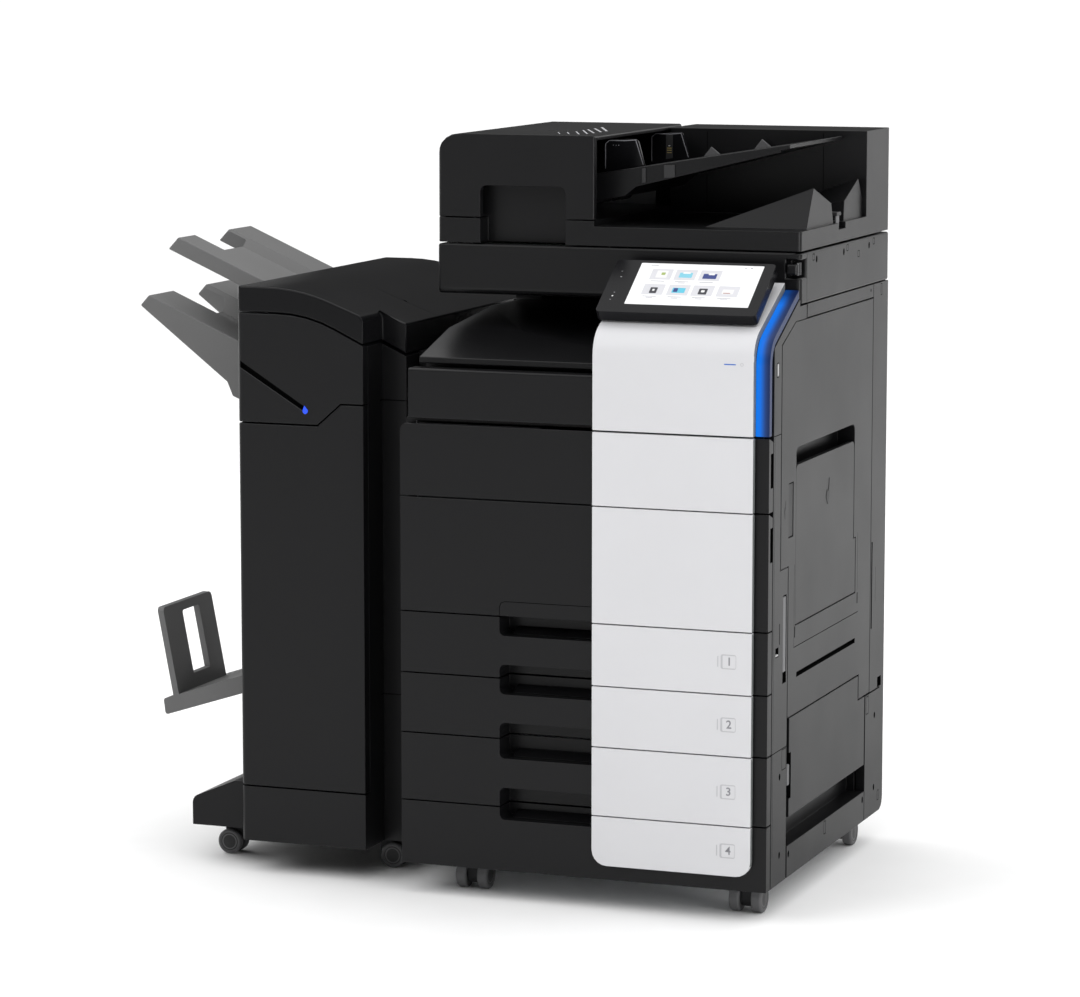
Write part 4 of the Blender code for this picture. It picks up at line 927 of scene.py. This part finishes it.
def back_parts(side_cuts):
    """Louvres, ports, mains inlet and screws on the back cover."""
    cuts = list(side_cuts)
    back = DEPTH

    def back_cut(outline, depth=0.006):
        return prism(outline, "y", back - depth, back + 0.01)

    for x0, z0, rows in ((0.06, 0.56, 14), (0.4, 0.56, 14), (0.42, 0.12, 6)):
        for n in range(rows):
            z = z0 + 0.013 * n
            cuts.append(back_cut(rounded(x0, x0 + 0.13, z, z + 0.0055, 0.0026, 3)))
    cuts.append(back_cut(rounded(0.06, 0.18, 0.33, 0.39, 0.004), 0.01))
    cuts.append(back_cut(rounded(0.07, 0.112, 0.14, 0.176, 0.003), 0.012))
    for z in (0.47, 0.78):
        cuts.append(back_cut([(0.004, z), (0.61, z), (0.61, z + 0.001), (0.004, z + 0.001)], 0.0015))
    carve("rear_cover", cuts)
    for n, x in enumerate((0.072, 0.1, 0.128, 0.152)):
        port = prism(rounded(x, x + 0.018, 0.352, 0.368, 0.0015), "y", back - 0.0098, back - 0.004,
                     rounded(x + 0.002, x + 0.016, 0.354, 0.366, 0.0012))
        add(f"port_{n}", port, "machine", STEEL, 0.0003)
    shell = prism(rounded(0.0705, 0.1115, 0.1405, 0.1755, 0.003), "y", back - 0.0115, back + 0.0008,
                  rounded(0.076, 0.106, 0.146, 0.17, 0.003))
    add("mains_inlet", shell, "machine", TONER, 0.0004)
    for n, (x, z) in enumerate(((0.083, 0.155), (0.091, 0.162), (0.099, 0.155))):
        pin = box(x - 0.001, x + 0.001, back - 0.0118, back - 0.003, z - 0.002, z + 0.002)
        add(f"inlet_pin_{n}", pin, "machine", CHROME, 0.0003)
    places = [(x, z) for x in (0.025, 0.31, 0.59) for z in (0.1, 0.29, 0.5, 0.76, 0.93)]
    for n, (x, z) in enumerate(places):
        screw = turned([(0.0, 0), (0.0, 0.0042), (0.0012, 0.0036), (0.0016, 0.0016), (0.001, 0)],
                       (x, back, z), "y", 24)
        add(f"back_screw_{n}", screw, "machine", STEEL, 0)


def dress_left_side():
    """Sheet covers on the copier's left wall."""
    for name, low, high in (("left_side_cover", 0.268, 0.77), ("left_cabinet_cover", 0.054, 0.262)):
        add(name, box(0.0002, 0.0028, 0.026, 0.638, low, high), "machine", CHARCOAL, 0.0008)


# ---------------- casters
def wheel_disc(name, body, middle, axis, radius, low, high, outward):
    """One half of a twin wheel: a round-shouldered tyre with a rim and a dished hub on its outer side."""
    soft = 0.003
    inner, face = (low, high) if outward > 0 else (high, low)

    def at(depth):
        return face - outward * depth

    tyre = [(inner, radius * 0.3), (inner, radius - 0.002), (inner + outward * 0.002, radius),
            (at(soft), radius), (at(0.0008), radius - 0.0014), (face, radius - soft),
            (face, radius * 0.8), (at(0.001), radius * 0.76), (at(0.001), radius * 0.3)]
    tyre.append(tyre[0])
    add(name + "_tyre", turned(tyre, middle, axis), body, RIM, 0)
    hub = [(at(0.003), 0), (at(0.003), radius * 0.74), (at(0.0006), radius * 0.7),
           (at(0.0012), radius * 0.6), (at(0.0002), radius * 0.2), (face, 0)]
    return add(name + "_hub", turned(hub, middle, axis), body, HUB, 0)


def dress_casters():
    cads = [(f"caster_{end}_{side}", "x") for end in ("front", "rear") for side in ("left", "right")]
    cads += [("finisher_caster_left", "y"), ("finisher_caster_right", "y")]
    wheels = [(name + "_wheels", axis, name) for name, axis in cads]
    wheels += [("finisher_wheel_left", "x", None), ("finisher_wheel_right", "x", None)]
    for node, axis, fork in wheels:
        low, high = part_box(node)
        middle = (low + high) / 2 - ORIGIN
        across = "xyz".index(axis)
        half = (high[across] - low[across]) / 2
        gap = 0.01 if axis == "x" and fork else 0.0074
        radius = middle.z
        first = None
        for side, name in ((-1, node + "_a"), (1, node + "_b")):
            edges = sorted((side * gap, side * half))
            piece = wheel_disc(name, node, middle, axis, radius, edges[0], edges[1], side)
            first = first or piece
        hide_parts(node)
        axle = rod(middle, axis, 0.0036, 2 * half - 0.006, 24)
        add(node + "_axle", axle, node, STEEL, 0)
        if fork:
            make_fork(fork, middle, axis, gap, radius)


def make_fork(name, middle, axis, gap, radius):
    """The hooded fork between a twin wheel's halves, with its round swivel boss."""
    low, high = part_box(name + "_fork")
    low, high = low - ORIGIN, high - ORIGIN
    along = 1 if axis == "x" else 0
    swivel_side = 1 if (low[along] + high[along]) / 2 > middle[along] else -1
    swivel = middle[along] + swivel_side * 0.016
    across = middle["xyz".index(axis)]
    thick = gap - 0.0012
    turns = [math.radians(a) for a in range(180, 361, 20)]
    around = radius * 0.62
    points = [(middle[along] + around * math.cos(t), middle.z + around * math.sin(t)) for t in turns]
    if swivel_side > 0:
        outline = points + [(high[along], middle.z + 0.004), (high[along], high.z), (low[along], high.z)]
    else:
        outline = points + [(high[along], high.z), (low[along], high.z), (low[along], middle.z + 0.004)]
    fork = add(name + "_hood", prism(outline, axis, across - thick, across + thick), name, RUBBER,
               0.0012)
    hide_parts(name + "_fork")
    place = [0.0, 0.0, high.z - 0.0022]
    place[along] = swivel
    place[1 - along] = across
    boss = rod(place, "z", min(0.0095, abs(high[along] - swivel) + 0.003), 0.0036, 32, 0.0006)
    add(name + "_boss", boss, name, STEEL, 0)


# ---------------- camera, light and floor
def make_stage():
    view = bpy.data.cameras.new("camera")
    view.lens = 134.69
    view.sensor_width = 36.0
    view.clip_end = 1000.0
    camera = place_object("camera", view, (2.4125, -6.2255, 1.5399))
    yaw, pitch = math.radians(20.502), math.radians(8.005)
    forward = Vector((-math.sin(yaw) * math.cos(pitch), math.cos(yaw) * math.cos(pitch), -math.sin(pitch)))
    camera.rotation_euler = forward.to_track_quat("-Z", "Y").to_euler()
    bpy.context.scene.camera = camera

    world = bpy.data.worlds.new("studio")
    world.use_nodes = True
    tree = world.node_tree
    tree.nodes["Background"].inputs["Color"].default_value = (1.0, 1.0, 1.0, 1.0)
    height = split_place(tree, "Generated")["Z"]
    sky = map_range(tree, height, (WALL_TOP, CEILING_FROM), (WALL_LIGHT, CEILING_LIGHT), "SMOOTHSTEP")
    tree.links.new(sky, tree.nodes["Background"].inputs["Strength"])
    bpy.context.scene.world = world
    bpy.context.scene.view_settings.view_transform = "Standard"

    for name, place, aim, size, power in (
        ("key", (-2.6, -3.6, 3.4), (0.0, 0.0, 0.6), 2.6, 48.0),
        ("fill", (3.6, -1.2, 2.6), (0.3, 0.0, 0.6), 2.0, 18.0),
        ("side_panel", (2.9, 5.4, 3.0), (0.5, 0.0, 1.0), 3.0, 50.0),
        ("left_panel", (-4.6, 1.9, 1.7), (-0.3, 0.0, 0.7), 2.6, 45.0),
        ("edge_panel", (4.6, -2.0, 1.0), (0.2, 0.0, 0.7), 1.0, 45.0),
    ):
        lamp = bpy.data.lights.new(name, "AREA")
        lamp.size = size
        lamp.energy = power
        lit = place_object(name, lamp, place)
        lit.rotation_euler = (Vector(aim) - Vector(place)).to_track_quat("-Z", "Y").to_euler()

    reach = 200.0
    shape = bmesh.new()
    corners = [(-reach, -reach), (reach, -reach), (reach, reach), (-reach, reach)]
    shape.faces.new([shape.verts.new((x, y, 0.0)) for x, y in corners])
    mesh = finish_mesh("floor", shape)
    mesh.materials.append(surface("floor_white", (0.93, 0.93, 0.93), 0.7, 0.1, grain=0.0, mottle=0.01))
    place_object("floor", mesh, (0.0, 0.0, 0.0))


make_stage()
finish_nodes()
rear_side_cuts = cut_right_side()
back_parts(rear_side_cuts)
dress_right_side()
dress_front()
dress_panel()
dress_feeder()
dress_scanner()
dress_finisher()
dress_output_trays()
dress_inside()
dress_left_side()
dress_casters()
for thing in nodes.values():
    even_normals(thing)
